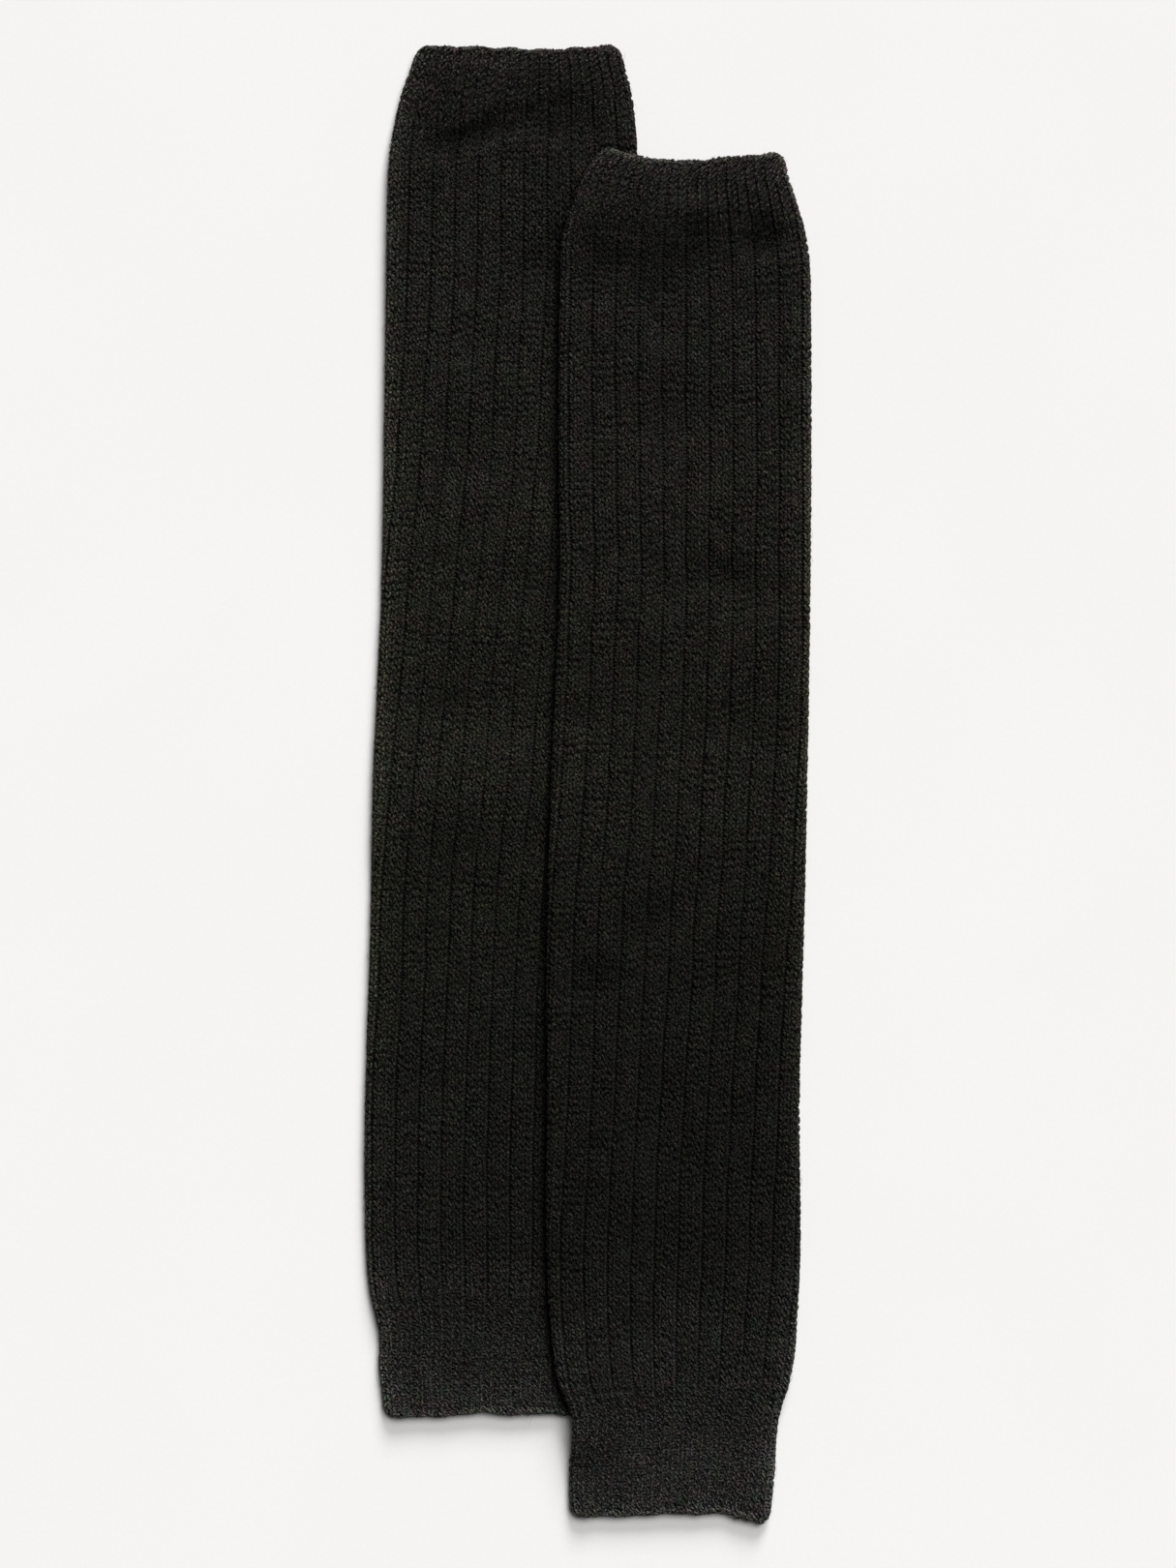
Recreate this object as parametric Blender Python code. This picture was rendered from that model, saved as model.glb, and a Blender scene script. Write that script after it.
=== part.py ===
"""A pair of ribbed knit leg warmers, laid flat side by side, the right one over the left one's edge.

Each leg warmer is one knitted tube in three stretches: a top cuff, a leg and an ankle cuff. Each
stretch is a hollow wall, lofted through sections that are worked out from the tables below. The
ribs are raised in the wall's outer face, over a plain inside.

+Y points to the top cuffs and +Z up. The tables and the functions work in millimetres.
"""

import math
from collections import namedtuple

import bmesh
import bpy

MM = 0.001

# The knitted wall
WALL = 1.9  # wall under the ribs
FOLD = 3.0  # how far the side folds are rounded, seen from the end
REPEATS = 22  # ribs round a leg
REPEATS_ON_TOP = REPEATS // 2
LEG_RIB_HEIGHT = 0.8
CUFF_RIB_HEIGHT = 0.6
SEAM_GAP = 0.3  # between two stretches of one tube
LIP = 0.8  # how far a free edge is rounded

# How the two lie
CLEARANCE = 0.6  # between the left one and what lies over it
OVERHANG = 3.0  # how far past the left one the upper one starts to come down
UNDER_RAMP = 16.0  # distance in which its underside reaches the floor
OVER_RAMP = 24.0  # distance in which its upper side has come down
EDGE_ROLL = 0.5  # how much fuller a tube is at its side folds
EDGE_REACH = 14.0
SIDE_RIB = 0.7  # how far the ribs stand out at a side

# One rib repeat, from the sunk wale to the next: where a point lies in it, and how high
RibPoint = namedtuple("RibPoint", "share height")
LEG_RIB = (
    RibPoint(share=0.00, height=0.00),
    RibPoint(share=0.15, height=0.88),
    RibPoint(share=0.50, height=1.00),
    RibPoint(share=0.85, height=0.88),
)
CUFF_RIB = (
    RibPoint(share=0.00, height=0.00),
    RibPoint(share=0.25, height=1.00),
    RibPoint(share=0.50, height=0.00),
    RibPoint(share=0.75, height=1.00),
)
CARRIED_ON = 0.4  # how far past each side fold the ribs go on, in ribs
PLAIN_POINTS = 12  # points across the plain underside, between the ribs
INSIDE_TOP_POINTS = 9  # points across the plain inside, between the folds
INSIDE_UNDER_POINTS = 8

# Where the tube lies at a distance down from its top edge: its two sides, its height when flat,
# and how far its ribs have turned round it, in ribs.
Lie = namedtuple("Lie", "down left right loft turn")
LEFT_LIE = (
    Lie(down=0, left=-69.6, right=12.4, loft=5.0, turn=0.00),
    Lie(down=13, left=-74.6, right=16.2, loft=5.3, turn=0.00),
    Lie(down=29, left=-78.6, right=19.0, loft=5.0, turn=0.00),
    Lie(down=45, left=-81.8, right=20.4, loft=6.6, turn=0.00),
    Lie(down=77, left=-83.4, right=20.2, loft=6.4, turn=0.03),
    Lie(down=149, left=-84.2, right=19.4, loft=6.0, turn=-0.21),
    Lie(down=221, left=-85.4, right=17.8, loft=6.0, turn=-0.72),
    Lie(down=293, left=-88.6, right=15.0, loft=6.0, turn=-1.08),
    Lie(down=365, left=-90.2, right=13.0, loft=5.9, turn=-1.50),
    Lie(down=437, left=-92.2, right=11.0, loft=5.9, turn=-1.58),
    Lie(down=485, left=-92.2, right=10.6, loft=5.8, turn=-1.62),
    Lie(down=513, left=-90.8, right=8.4, loft=5.3, turn=-1.62),
    Lie(down=533, left=-86.4, right=4.0, loft=5.3, turn=-1.62),
    Lie(down=557, left=-84.8, right=1.8, loft=5.2, turn=-1.62),
    Lie(down=567, left=-84.0, right=0.8, loft=5.0, turn=-1.62),
)
RIGHT_LIE = (
    Lie(down=0, left=4.8, right=80.8, loft=5.0, turn=0.50),
    Lie(down=8, left=-0.8, right=82.8, loft=5.3, turn=0.50),
    Lie(down=16, left=-4.4, right=86.2, loft=5.4, turn=0.50),
    Lie(down=30, left=-9.4, right=89.6, loft=5.1, turn=0.50),
    Lie(down=46, left=-11.0, right=91.6, loft=6.7, turn=0.50),
    Lie(down=104, left=-11.8, right=92.2, loft=6.2, turn=0.50),
    Lie(down=176, left=-11.4, right=91.8, loft=6.0, turn=0.54),
    Lie(down=248, left=-14.4, right=90.6, loft=6.0, turn=0.50),
    Lie(down=320, left=-16.6, right=88.8, loft=6.0, turn=0.24),
    Lie(down=392, left=-16.8, right=87.2, loft=5.9, turn=-0.05),
    Lie(down=450, left=-16.8, right=88.0, loft=5.8, turn=-0.32),
    Lie(down=488, left=-14.6, right=85.8, loft=5.6, turn=-0.40),
    Lie(down=506, left=-12.0, right=82.8, loft=5.3, turn=-0.40),
    Lie(down=522, left=-8.0, right=78.4, loft=5.3, turn=-0.40),
    Lie(down=544, left=-8.0, right=77.2, loft=5.2, turn=-0.40),
    Lie(down=562, left=-7.2, right=75.2, loft=5.0, turn=-0.40),
)

# Lines that run across the tube: how far each is raised towards the top, at five places across.
Line = namedtuple("Line", "down left left_mid middle right_mid right")
LEFT_LINES = (
    Line(down=0.0, left=0.6, left_mid=0.0, middle=-1.0, right_mid=-0.6, right=0.2),
    Line(down=27.5, left=-1.5, left_mid=-4.0, middle=1.5, right_mid=3.5, right=4.5),
    Line(down=75.0, left=0.0, left_mid=0.0, middle=0.0, right_mid=0.0, right=0.0),
    Line(down=515.0, left=0.0, left_mid=0.0, middle=0.0, right_mid=0.0, right=0.0),
    Line(down=567.0, left=-0.2, left_mid=-0.4, middle=1.8, right_mid=1.0, right=-0.6),
)
RIGHT_LINES = (
    Line(down=0.0, left=3.4, left_mid=-0.8, middle=-2.0, right_mid=-0.4, right=0.4),
    Line(down=28.5, left=0.2, left_mid=-0.8, middle=-1.6, right_mid=0.6, right=2.4),
    Line(down=75.0, left=0.0, left_mid=0.0, middle=0.0, right_mid=0.0, right=0.0),
    Line(down=507.0, left=0.0, left_mid=0.0, middle=0.0, right_mid=0.0, right=0.0),
    Line(down=562.0, left=0.8, left_mid=-0.6, middle=0.0, right_mid=0.4, right=-1.4),
)

# Soft folds in the upper side: their middle, half their length and width, the way they run
# (degrees from +X) and how far they rise, or sink where it is negative.
Crease = namedtuple("Crease", "x y length width angle rise")
LEFT_CREASES = (
    Crease(x=-48, y=140, length=44, width=24, angle=4, rise=-1.1),
    Crease(x=-52, y=26, length=42, width=24, angle=-6, rise=-1.3),
    Crease(x=-68, y=-39, length=34, width=24, angle=8, rise=-1.3),
    Crease(x=-66, y=-126, length=32, width=26, angle=-5, rise=-0.9),
)
RIGHT_CREASES = (
    Crease(x=29, y=142, length=46, width=24, angle=-4, rise=-1.2),
    Crease(x=59, y=80, length=34, width=22, angle=6, rise=-1.1),
    Crease(x=14, y=38, length=30, width=22, angle=-8, rise=-1.1),
    Crease(x=30, y=-52, length=44, width=22, angle=30, rise=-1.3),
    Crease(x=28, y=-132, length=56, width=20, angle=-68, rise=-1.2),
)

# A stretch is one node: the tube between two places down it, and the sections it is lofted through.
Stretch = namedtuple("Stretch", "name start end sections rib rib_height colour")
# A garment lies with its top edge at top_y, and may lie over another one.
Garment = namedtuple("Garment", "top_y length lie lines creases rolls over stretches")

CUFF_BLACK = (0.0135, 0.0130, 0.0115)
LEG_BLACK = (0.0120, 0.0117, 0.0098)

LEFT = Garment(
    top_y=304.0,
    length=567.0,
    lie=LEFT_LIE,
    lines=LEFT_LINES,
    creases=LEFT_CREASES,
    rolls=(1, 0),
    over=None,
    stretches=(
        Stretch("left_top_cuff", 0.0, 27.5, 4, CUFF_RIB, CUFF_RIB_HEIGHT, CUFF_BLACK),
        Stretch("left_leg", 27.5, 515.0, 25, LEG_RIB, LEG_RIB_HEIGHT, LEG_BLACK),
        Stretch("left_ankle_cuff", 515.0, 567.0, 5, CUFF_RIB, CUFF_RIB_HEIGHT, CUFF_BLACK),
    ),
)
RIGHT = Garment(
    top_y=258.8,
    length=562.0,
    lie=RIGHT_LIE,
    lines=RIGHT_LINES,
    creases=RIGHT_CREASES,
    rolls=(1, 1),
    over=LEFT,
    stretches=(
        Stretch("right_top_cuff", 0.0, 28.5, 4, CUFF_RIB, CUFF_RIB_HEIGHT, CUFF_BLACK),
        Stretch("right_leg", 28.5, 507.0, 25, LEG_RIB, LEG_RIB_HEIGHT, LEG_BLACK),
        Stretch("right_ankle_cuff", 507.0, 562.0, 9, CUFF_RIB, CUFF_RIB_HEIGHT, CUFF_BLACK),
    ),
)


def eased(share):
    """0 up to a share of 0 and 1 from a share of 1, with a soft start and end."""
    share = min(max(share, 0.0), 1.0)
    return share * share * (3 - 2 * share)


def between(places, values, at):
    """The value at a place, on a smooth curve through the values at the given places."""
    at = min(max(at, places[0]), places[-1])
    i = max(k for k in range(len(places) - 1) if places[k] <= at)

    def slope(k):
        low, high = max(k - 1, 0), min(k + 1, len(places) - 1)
        return (values[high] - values[low]) / (places[high] - places[low])

    step = places[i + 1] - places[i]
    t = (at - places[i]) / step
    return (
        (1 + 2 * t) * (1 - t) ** 2 * values[i]
        + t * (1 - t) ** 2 * step * slope(i)
        + t * t * (3 - 2 * t) * values[i + 1]
        + t * t * (t - 1) * step * slope(i + 1)
    )


def lie_at(garment, column, down):
    """One column of the garment's lie at a distance down from its top edge."""
    return between([row.down for row in garment.lie], [getattr(row, column) for row in garment.lie], down)


def raised_at(garment, down, across):
    """How far a line across the tube is raised, at a share of the way across it."""
    shares = (0.0, 0.25, 0.5, 0.75, 1.0)
    rows = garment.lines
    i = max(k for k in range(len(rows) - 1) if rows[k].down <= max(down, 0.0))
    share = min((down - rows[i].down) / (rows[i + 1].down - rows[i].down), 1.0)
    first = between(shares, rows[i][1:], across)
    second = between(shares, rows[i + 1][1:], across)
    return first + (second - first) * max(share, 0.0)


def relief(garment, x, y):
    """The soft folds' height at a place."""
    height = 0.0
    for crease in garment.creases:
        turn = math.radians(crease.angle)
        dx, dy = x - crease.x, y - crease.y
        along = (dx * math.cos(turn) + dy * math.sin(turn)) / crease.length
        across = (dy * math.cos(turn) - dx * math.sin(turn)) / crease.width
        height += crease.rise * max(1 - along * along - across * across, 0.0) ** 2
    return height


def bed(garment, x, y, ramp):
    """The height of what the garment lies on: the floor, or the garment under it and a ramp down."""
    if garment.over is None:
        return 0.0
    lower = garment.over
    down = lower.top_y - y
    height = lie_at(lower, "loft", down) + LEG_RIB_HEIGHT + CLEARANCE
    beside = x - lie_at(lower, "right", down)
    below = lower.top_y - lower.length - OVERHANG - y
    return height * (1 - eased(beside / ramp)) * (1 - eased(below / ramp))


def levels(garment, x, y, down):
    """The heights of the tube's plain underside and upper side at a place."""
    roll = 0.0
    for column, sign, share in zip(("left", "right"), (1, -1), garment.rolls):
        inside = sign * (x - lie_at(garment, column, down))
        roll += share * EDGE_ROLL * (1 - eased(inside / EDGE_REACH))
    low = bed(garment, x, y, UNDER_RAMP)
    high = bed(garment, x, y, OVER_RAMP) + lie_at(garment, "loft", down) + roll + relief(garment, x, y)
    return low, high


def folds_at(garment, down):
    """Where the plain outer face turns over at the two sides."""
    return lie_at(garment, "left", down) + SIDE_RIB, lie_at(garment, "right", down) - SIDE_RIB


def half_round(garment, down):
    """The way round the upper side, from the middle of one side fold to the middle of the other."""
    left, right = folds_at(garment, down)
    return right - left - 2 * FOLD + math.pi * FOLD


def section_point(garment, down, arc, out):
    """A point of the section: arc is the way round from the left fold's middle, over the top.

    out is how far it stands out from the plain outer face, and on a rib it fades out as the
    face turns down to the floor.
    """
    half = half_round(garment, down)
    arc %= 2 * half
    side = 1 if arc <= half else -1
    along = arc if side == 1 else 2 * half - arc
    left, right = folds_at(garment, down)
    quarter = FOLD * math.pi / 2
    angle = min(along, half - along, quarter) / FOLD
    inward = FOLD * (1 - math.cos(angle))
    if along < quarter:
        x, way = left + inward, -1
    elif along > half - quarter:
        x, way = right - inward, 1
    else:
        x, way = left + FOLD + along - quarter, 0
    if out > 0 and side == -1:
        out *= math.cos(angle) ** 2
    y = garment.top_y - down + raised_at(garment, down, (x - left) / (right - left))
    low, high = levels(garment, x, y, down)
    rise = side * math.sin(angle)
    z = (low + high) / 2 + rise * ((high - low) / 2 + out)
    return (x + way * math.cos(angle) * out, y, z)


def outer_columns(garment, stretch):
    """The points round the outer face, as (ribs from the left fold, how far it stands out)."""
    turns = [row.turn for row in garment.lie]
    first = -math.ceil(CARRIED_ON + max(turns))
    last = REPEATS_ON_TOP + math.ceil(CARRIED_ON - min(turns))
    columns = [
        (rib + point.share, point.height * stretch.rib_height)
        for rib in range(first, last)
        for point in stretch.rib
    ]
    plain = (first + REPEATS - last) / PLAIN_POINTS
    return columns + [(last + plain * k, 0.0) for k in range(PLAIN_POINTS)]


def inner_arcs(half):
    """The ways round of the points on the plain inside, close together at the two folds."""
    quarter = FOLD * math.pi / 2
    flat = half - 2 * quarter
    arcs = []
    for start, points in ((0.0, INSIDE_TOP_POINTS), (half, INSIDE_UNDER_POINTS)):
        arcs += [start, start + quarter / 2]
        arcs += [start + quarter + flat * k / (points + 1) for k in range(points + 2)]
        arcs.append(start + half - quarter / 2)
    return arcs


def stations_of(garment, stretch):
    """(down, sink) for each section: sink is how far its faces are drawn together at a free edge."""
    first_is_free = stretch.start == 0
    last_is_free = stretch.end == garment.length
    start = stretch.start + (0 if first_is_free else SEAM_GAP / 2)
    end = stretch.end - (0 if last_is_free else SEAM_GAP / 2)
    inner_start = start + (LIP if first_is_free else 0)
    inner_end = end - (LIP if last_is_free else 0)
    steps = stretch.sections - 1
    stations = [(inner_start + (inner_end - inner_start) * k / steps, 0.0) for k in range(steps + 1)]
    if first_is_free:
        stations.insert(0, (start, LIP))
    if last_is_free:
        stations.append((end, LIP))
    return stations


def loft(mesh, rings):
    """Quads between each ring and the next, round the tube."""
    for one, other in zip(rings, rings[1:]):
        for k in range(len(one)):
            following = (k + 1) % len(one)
            mesh.faces.new((one[k], one[following], other[following], other[k]))


def close_end(mesh, outer, inner):
    """The edge of the wall at one end, from rings of (share of the way round, point)."""
    outer, inner = (sorted(ring, key=lambda entry: entry[0]) for ring in (outer, inner))
    outer, inner = ([*ring, (ring[0][0] + 1, ring[0][1])] for ring in (outer, inner))
    i = j = 0
    while i < len(outer) - 1 or j < len(inner) - 1:
        here, there = outer[i][1], inner[j][1]
        if j == len(inner) - 1 or (i < len(outer) - 1 and outer[i + 1][0] <= inner[j + 1][0]):
            i += 1
            mesh.faces.new((here, outer[i][1], there))
        else:
            j += 1
            mesh.faces.new((here, inner[j][1], there))


def build_stretch(garment, stretch, collection):
    """One stretch of a tube, as a closed hollow wall."""
    columns = outer_columns(garment, stretch)
    mesh = bmesh.new()
    outer, inner = [], []
    for down, sink in stations_of(garment, stretch):
        half = half_round(garment, down)
        turn = lie_at(garment, "turn", down)
        arcs = [(place + turn) * half / REPEATS_ON_TOP for place, _ in columns]
        faces = (
            (outer, arcs, [height - sink for _, height in columns]),
            (inner, inner_arcs(half), [sink - WALL] * len(inner_arcs(half))),
        )
        for rings, ways, outs in faces:
            ring = []
            for arc, out in zip(ways, outs):
                point = section_point(garment, down, arc, out)
                ring.append((arc / (2 * half) % 1, mesh.verts.new([value * MM for value in point])))
            rings.append(ring)
    for rings in (outer, inner):
        loft(mesh, [[point for _, point in ring] for ring in rings])
    close_end(mesh, outer[0], inner[0])
    close_end(mesh, outer[-1], inner[-1])
    bmesh.ops.recalc_face_normals(mesh, faces=mesh.faces)
    data = bpy.data.meshes.new(stretch.name)
    mesh.to_mesh(data)
    mesh.free()
    data.shade_smooth()
    data.materials.append(knit_material(stretch))
    collection.objects.link(bpy.data.objects.new(stretch.name, data))


def knit_material(stretch):
    """Matt black yarn."""
    material = bpy.data.materials.new(stretch.name + "_yarn")
    material.use_nodes = True
    shader = material.node_tree.nodes["Principled BSDF"]
    shader.inputs["Base Color"].default_value = (*stretch.colour, 1.0)
    shader.inputs["Roughness"].default_value = 0.95
    shader.inputs["Metallic"].default_value = 0.0
    return material


def main():
    for thing in list(bpy.data.objects):
        bpy.data.objects.remove(thing)
    collection = bpy.data.collections.new("leg_warmers")
    bpy.context.scene.collection.children.link(collection)
    for garment in (LEFT, RIGHT):
        for stretch in garment.stretches:
            build_stretch(garment, stretch, collection)


main()
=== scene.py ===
"""The looks of a pair of ribbed knit leg warmers, laid flat, the right one over the left one's edge.

Each of the six stretches of knitting is a closed tube in the shape of its solid. It shows the sunk
purl stitches, the inside and the underside. Loops of yarn lie over it: a knit stitch is a V of two
slanted loops. Loose fibres stand off the yarn.

The tables and the functions work in millimetres, with +Y towards the top cuffs and +Z up.
"""

import math
from collections import namedtuple

import bpy
import numpy as np
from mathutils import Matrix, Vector

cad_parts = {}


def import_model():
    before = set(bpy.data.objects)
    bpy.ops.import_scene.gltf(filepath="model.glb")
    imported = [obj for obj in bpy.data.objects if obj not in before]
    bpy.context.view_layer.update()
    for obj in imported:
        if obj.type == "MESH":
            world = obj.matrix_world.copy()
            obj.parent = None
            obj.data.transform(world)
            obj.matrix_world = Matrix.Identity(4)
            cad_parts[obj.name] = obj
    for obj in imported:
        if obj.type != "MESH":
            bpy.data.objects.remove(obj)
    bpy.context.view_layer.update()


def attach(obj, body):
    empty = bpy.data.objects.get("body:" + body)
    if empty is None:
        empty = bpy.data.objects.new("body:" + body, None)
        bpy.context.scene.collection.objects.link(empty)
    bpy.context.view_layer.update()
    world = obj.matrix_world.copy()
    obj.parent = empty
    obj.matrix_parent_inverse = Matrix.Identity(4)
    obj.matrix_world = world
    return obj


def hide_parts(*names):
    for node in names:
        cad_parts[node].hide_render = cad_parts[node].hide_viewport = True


MM = 0.001

# The knitted wall, as in the solids
WALL = 1.9
FOLD = 3.0  # how far the side folds are rounded, seen from the end
REPEATS = 22  # ribs round a leg
REPEATS_ON_TOP = REPEATS // 2
LEG_RIB_HEIGHT = 0.8
CUFF_RIB_HEIGHT = 0.6
ANKLE_RIB_HEIGHT = 0.45
SEAM_GAP = 0.02  # between the tubes of two stretches
LIP = 0.8  # how far a free edge is rounded
CLEARANCE = 0.6  # between the left one and what lies over it
OVERHANG = 3.0  # how far past the left one the upper one starts to come down
UNDER_RAMP = 16.0  # distance in which its underside reaches the floor
OVER_RAMP = 24.0  # distance in which its upper side has come down
PRESSED = 1.6  # how far the lower one gives way under the upper one's edge
PRESSED_FROM = 1.0  # wholly from this far inside that edge
PRESSED_REACH = 5.5  # and no more from this far outside it
EDGE_ROLL = 0.5  # how much fuller a tube is at its side folds
EDGE_REACH = 14.0
SIDE_RIB = 0.7  # how far the ribs stand out at a side

# What is finer here than in the solids
BARE_WALL = 0.2  # half of the room that a deep hollow leaves the two walls
# Each of these is how far something wanders, and in waves of what length
UNEVEN, UNEVEN_WAVE = 0.16, 34.0  # the upper side, up and down
SWAY, SWAY_WAVE = 0.28, 60.0  # a rib, to its sides
WOBBLE, WOBBLE_WAVE = 0.13, 11.0  # and within a few stitches
COURSE_SWAY, COURSE_WAVE = 1.1, 22.0  # a course
EDGE_SWAY, EDGE_WAVE = 0.35, 17.0  # a free edge, in and out
CALM_EDGE = 12.0  # how far from a free edge a course starts to wander less
WALE_SHIFT = 1.35  # how far a wale's stitches lie from those beside them
SEAM_REACH = 7.0  # how far from a seam between two stretches they start to be alike
SEAM_CREST = 0.5  # and how far the crests stand out there, with a hollow only where the leg has one
SEAM_HOLLOW = 0.08  # half of that hollow's width, in ribs
SEAM_HEIGHTS = (-0.6, 1.0)  # the heights there of the hollow and the crests, as shares
CORNER = 4.2  # how far a free edge's corners are rounded
CORNER_DEPTH = 0.8 * CORNER  # and how far they draw a side in
CORNER_TURN = 0.9  # 1 would turn the side right round into the edge
WIDTH = 90.0  # of a leg as it lies
TUBE_SINK = 0.5  # how far the tube lies inside the crests, under the yarn
CARRIED_ON = 0.45  # how far past each side fold the ribs go on, in ribs
PLAIN_POINTS = 12  # points across the plain underside, between the ribs
INSIDE_POINTS = 9  # points across each side of the plain inside
INSIDE_STEP = 9.0  # from one section of the inside to the next

# The stitches
COURSE = 2.7
REPEAT_WIDTH = 9.7  # the width of a rib repeat in which the strands have the sizes below
YARN_WIDTH = 1.3
YARN_THICKNESS = 1.2
YARN_REST = 0.28  # how far a strand's middle lies inside the crest
HIDDEN_BY = 10.0  # past this under the upper one, the lower one has no strands
STRANDS_TO = 0.33  # how far past each side fold the strands go, in ribs
RIM_PITCH = 0.19  # from one loop of a free edge to the next, in ribs
FUZZ_PER_AREA = 0.13  # loose fibres for each square millimetre
FUZZ_LENGTH = 2.1
FUZZ_RADIUS = 0.045
HOLLOW_SHADE = 0.8  # painted shade: how much darker the loops are that lie low in a rib
FOLD_SHADE = 0.30  # painted shade too: how much darker those deep in a fold are, for each millimetre past the first ones
FOLD_SHADE_FROM = 1.1
DARKEST, LIGHTEST = -0.6, 3.0  # the tones between which the yarn's brightness changes
RIM_LIGHT = 1.35  # painted light: how much lighter the outer edges are painted, for fuzz seen edge-on catching light
RIM_REACH = 2.9
SIDE_LIGHT = 0.16  # and more weakly the sides, painted light as well
SIDE_REACH = 16.0
BESIDE_SHADE = 0.4  # painted shadow: how much darker the lower one's loops are next to the upper one's side
BESIDE_REACH = 2.8
BESIDE_FROM, BESIDE_FADE = -250.0, 60.0  # where this starts, up from the middle, and how gently
SLOPE_SHADE = 0.17  # painted shade: how much darker the upper one's loops are where it slopes down off the lower one
SLOPE_MIDDLE, SLOPE_REACH = 10.0, 10.0
MOST_LOOPS = 8000  # in one piece


def rows(kind, *table):
    """A table's rows as named tuples of the kind, which says what its columns are."""
    return tuple(kind(*row) for row in table)


# A knit wale: where its middle lies in a rib repeat and how wide it is, and both at a seam between
# two stretches, where a leg's middle wale turns into a purl one
Wale = namedtuple("Wale", "middle width seam_middle seam_width")
LEG_WALES = (
    Wale(middle=0.200, width=0.295, seam_middle=0.245, seam_width=0.38),
    Wale(middle=0.500, width=0.295, seam_middle=0.500, seam_width=0.16),
    Wale(middle=0.800, width=0.295, seam_middle=0.755, seam_width=0.38),
)
CUFF_WALES = (
    Wale(middle=0.250, width=0.400, seam_middle=0.245, seam_width=0.38),
    Wale(middle=0.750, width=0.400, seam_middle=0.755, seam_width=0.38),
)

# The bumps in a cuff's hollows: how wide they are, how far they lie under the hollow's height and
# how light the lightest are; their dark tones are painted shade in the hollows.
Purls = namedtuple("Purls", "reach sunk lightest")
CUFF_PURLS = Purls(reach=1.7, sunk=0.62, lightest=0.04)
ANKLE_PURLS = Purls(reach=1.8, sunk=0.35, lightest=0.55)

# The outer face across one rib repeat: where a point lies in it, its height as a share of the rib's,
# and its place in the fabric, in wales.
RibPoint = namedtuple("RibPoint", "share height wale")
LEG_RIB = rows(
    RibPoint,
    (0.000, -0.25, 0.0),
    (0.040, 0.27, 0.45),
    (0.120, 0.82, 0.75),
    (0.350, 0.95, 1.5),
    (0.500, 1.00, 2.0),
    (0.650, 0.95, 2.5),
    (0.880, 0.78, 3.25),
    (0.960, 0.27, 3.55),
)
CUFF_RIB = rows(
    RibPoint,
    (0.000, -0.90, 0.0),
    (0.070, 0.10, 0.5),
    (0.250, 1.00, 1.0),
    (0.430, 0.25, 1.5),
    (0.500, -0.60, 2.0),
    (0.570, 0.25, 2.5),
    (0.750, 1.00, 3.0),
    (0.930, 0.10, 3.5),
)
ANKLE_RIB = rows(
    RibPoint,
    (0.000, 0.00, 0.0),
    (0.070, 0.55, 0.5),
    (0.250, 1.00, 1.0),
    (0.430, 0.60, 1.5),
    (0.500, 0.10, 2.0),
    (0.570, 0.60, 2.5),
    (0.750, 1.00, 3.0),
    (0.930, 0.55, 3.5),
)
WALES_IN_REPEAT = 4

# Where the tube lies at a distance down from its top edge: its two sides, its height when flat,
# and how far its ribs have turned round it, in ribs.
Lie = namedtuple("Lie", "down left right loft turn")
LEFT_LIE = rows(
    Lie,
    (0, -70.6, 13.8, 5.0, 0.00),
    (13, -75.6, 16.8, 5.3, 0.00),
    (20, -78.2, 18.4, 5.2, 0.00),
    (29, -80.0, 19.4, 5.0, 0.00),
    (45, -82.3, 20.7, 6.6, 0.00),
    (77, -83.2, 20.2, 6.4, 0.03),
    (149, -83.9, 19.4, 6.0, -0.21),
    (221, -85.1, 17.8, 6.0, -0.72),
    (293, -88.4, 15.0, 6.0, -1.08),
    (365, -89.7, 13.0, 5.9, -1.50),
    (437, -91.8, 11.0, 5.9, -1.58),
    (485, -91.8, 10.6, 5.8, -1.62),
    (513, -90.2, 8.4, 5.3, -1.62),
    (533, -86.4, 4.0, 5.3, -1.62),
    (545, -86.6, 2.8, 5.3, -1.62),
    (557, -85.3, 1.8, 5.2, -1.62),
    (567, -84.4, 0.8, 5.0, -1.62),
)
RIGHT_LIE = rows(
    Lie,
    (0, 4.8, 82.0, 5.0, 0.50),
    (8, -0.8, 83.3, 5.3, 0.50),
    (16, -4.4, 85.8, 5.4, 0.50),
    (30, -9.4, 89.6, 5.1, 0.50),
    (46, -11.0, 91.9, 6.7, 0.50),
    (104, -11.8, 92.5, 6.2, 0.50),
    (176, -11.4, 92.1, 6.0, 0.54),
    (248, -14.4, 91.0, 6.0, 0.50),
    (320, -16.6, 89.5, 6.0, 0.24),
    (392, -16.8, 87.9, 5.9, -0.05),
    (450, -16.8, 88.0, 5.8, -0.32),
    (488, -14.6, 86.2, 5.6, -0.40),
    (506, -12.0, 83.8, 5.3, -0.40),
    (522, -6.8, 79.3, 5.3, -0.40),
    (544, -7.9, 77.7, 5.2, -0.40),
    (562, -7.5, 75.7, 5.0, -0.40),
)

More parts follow.
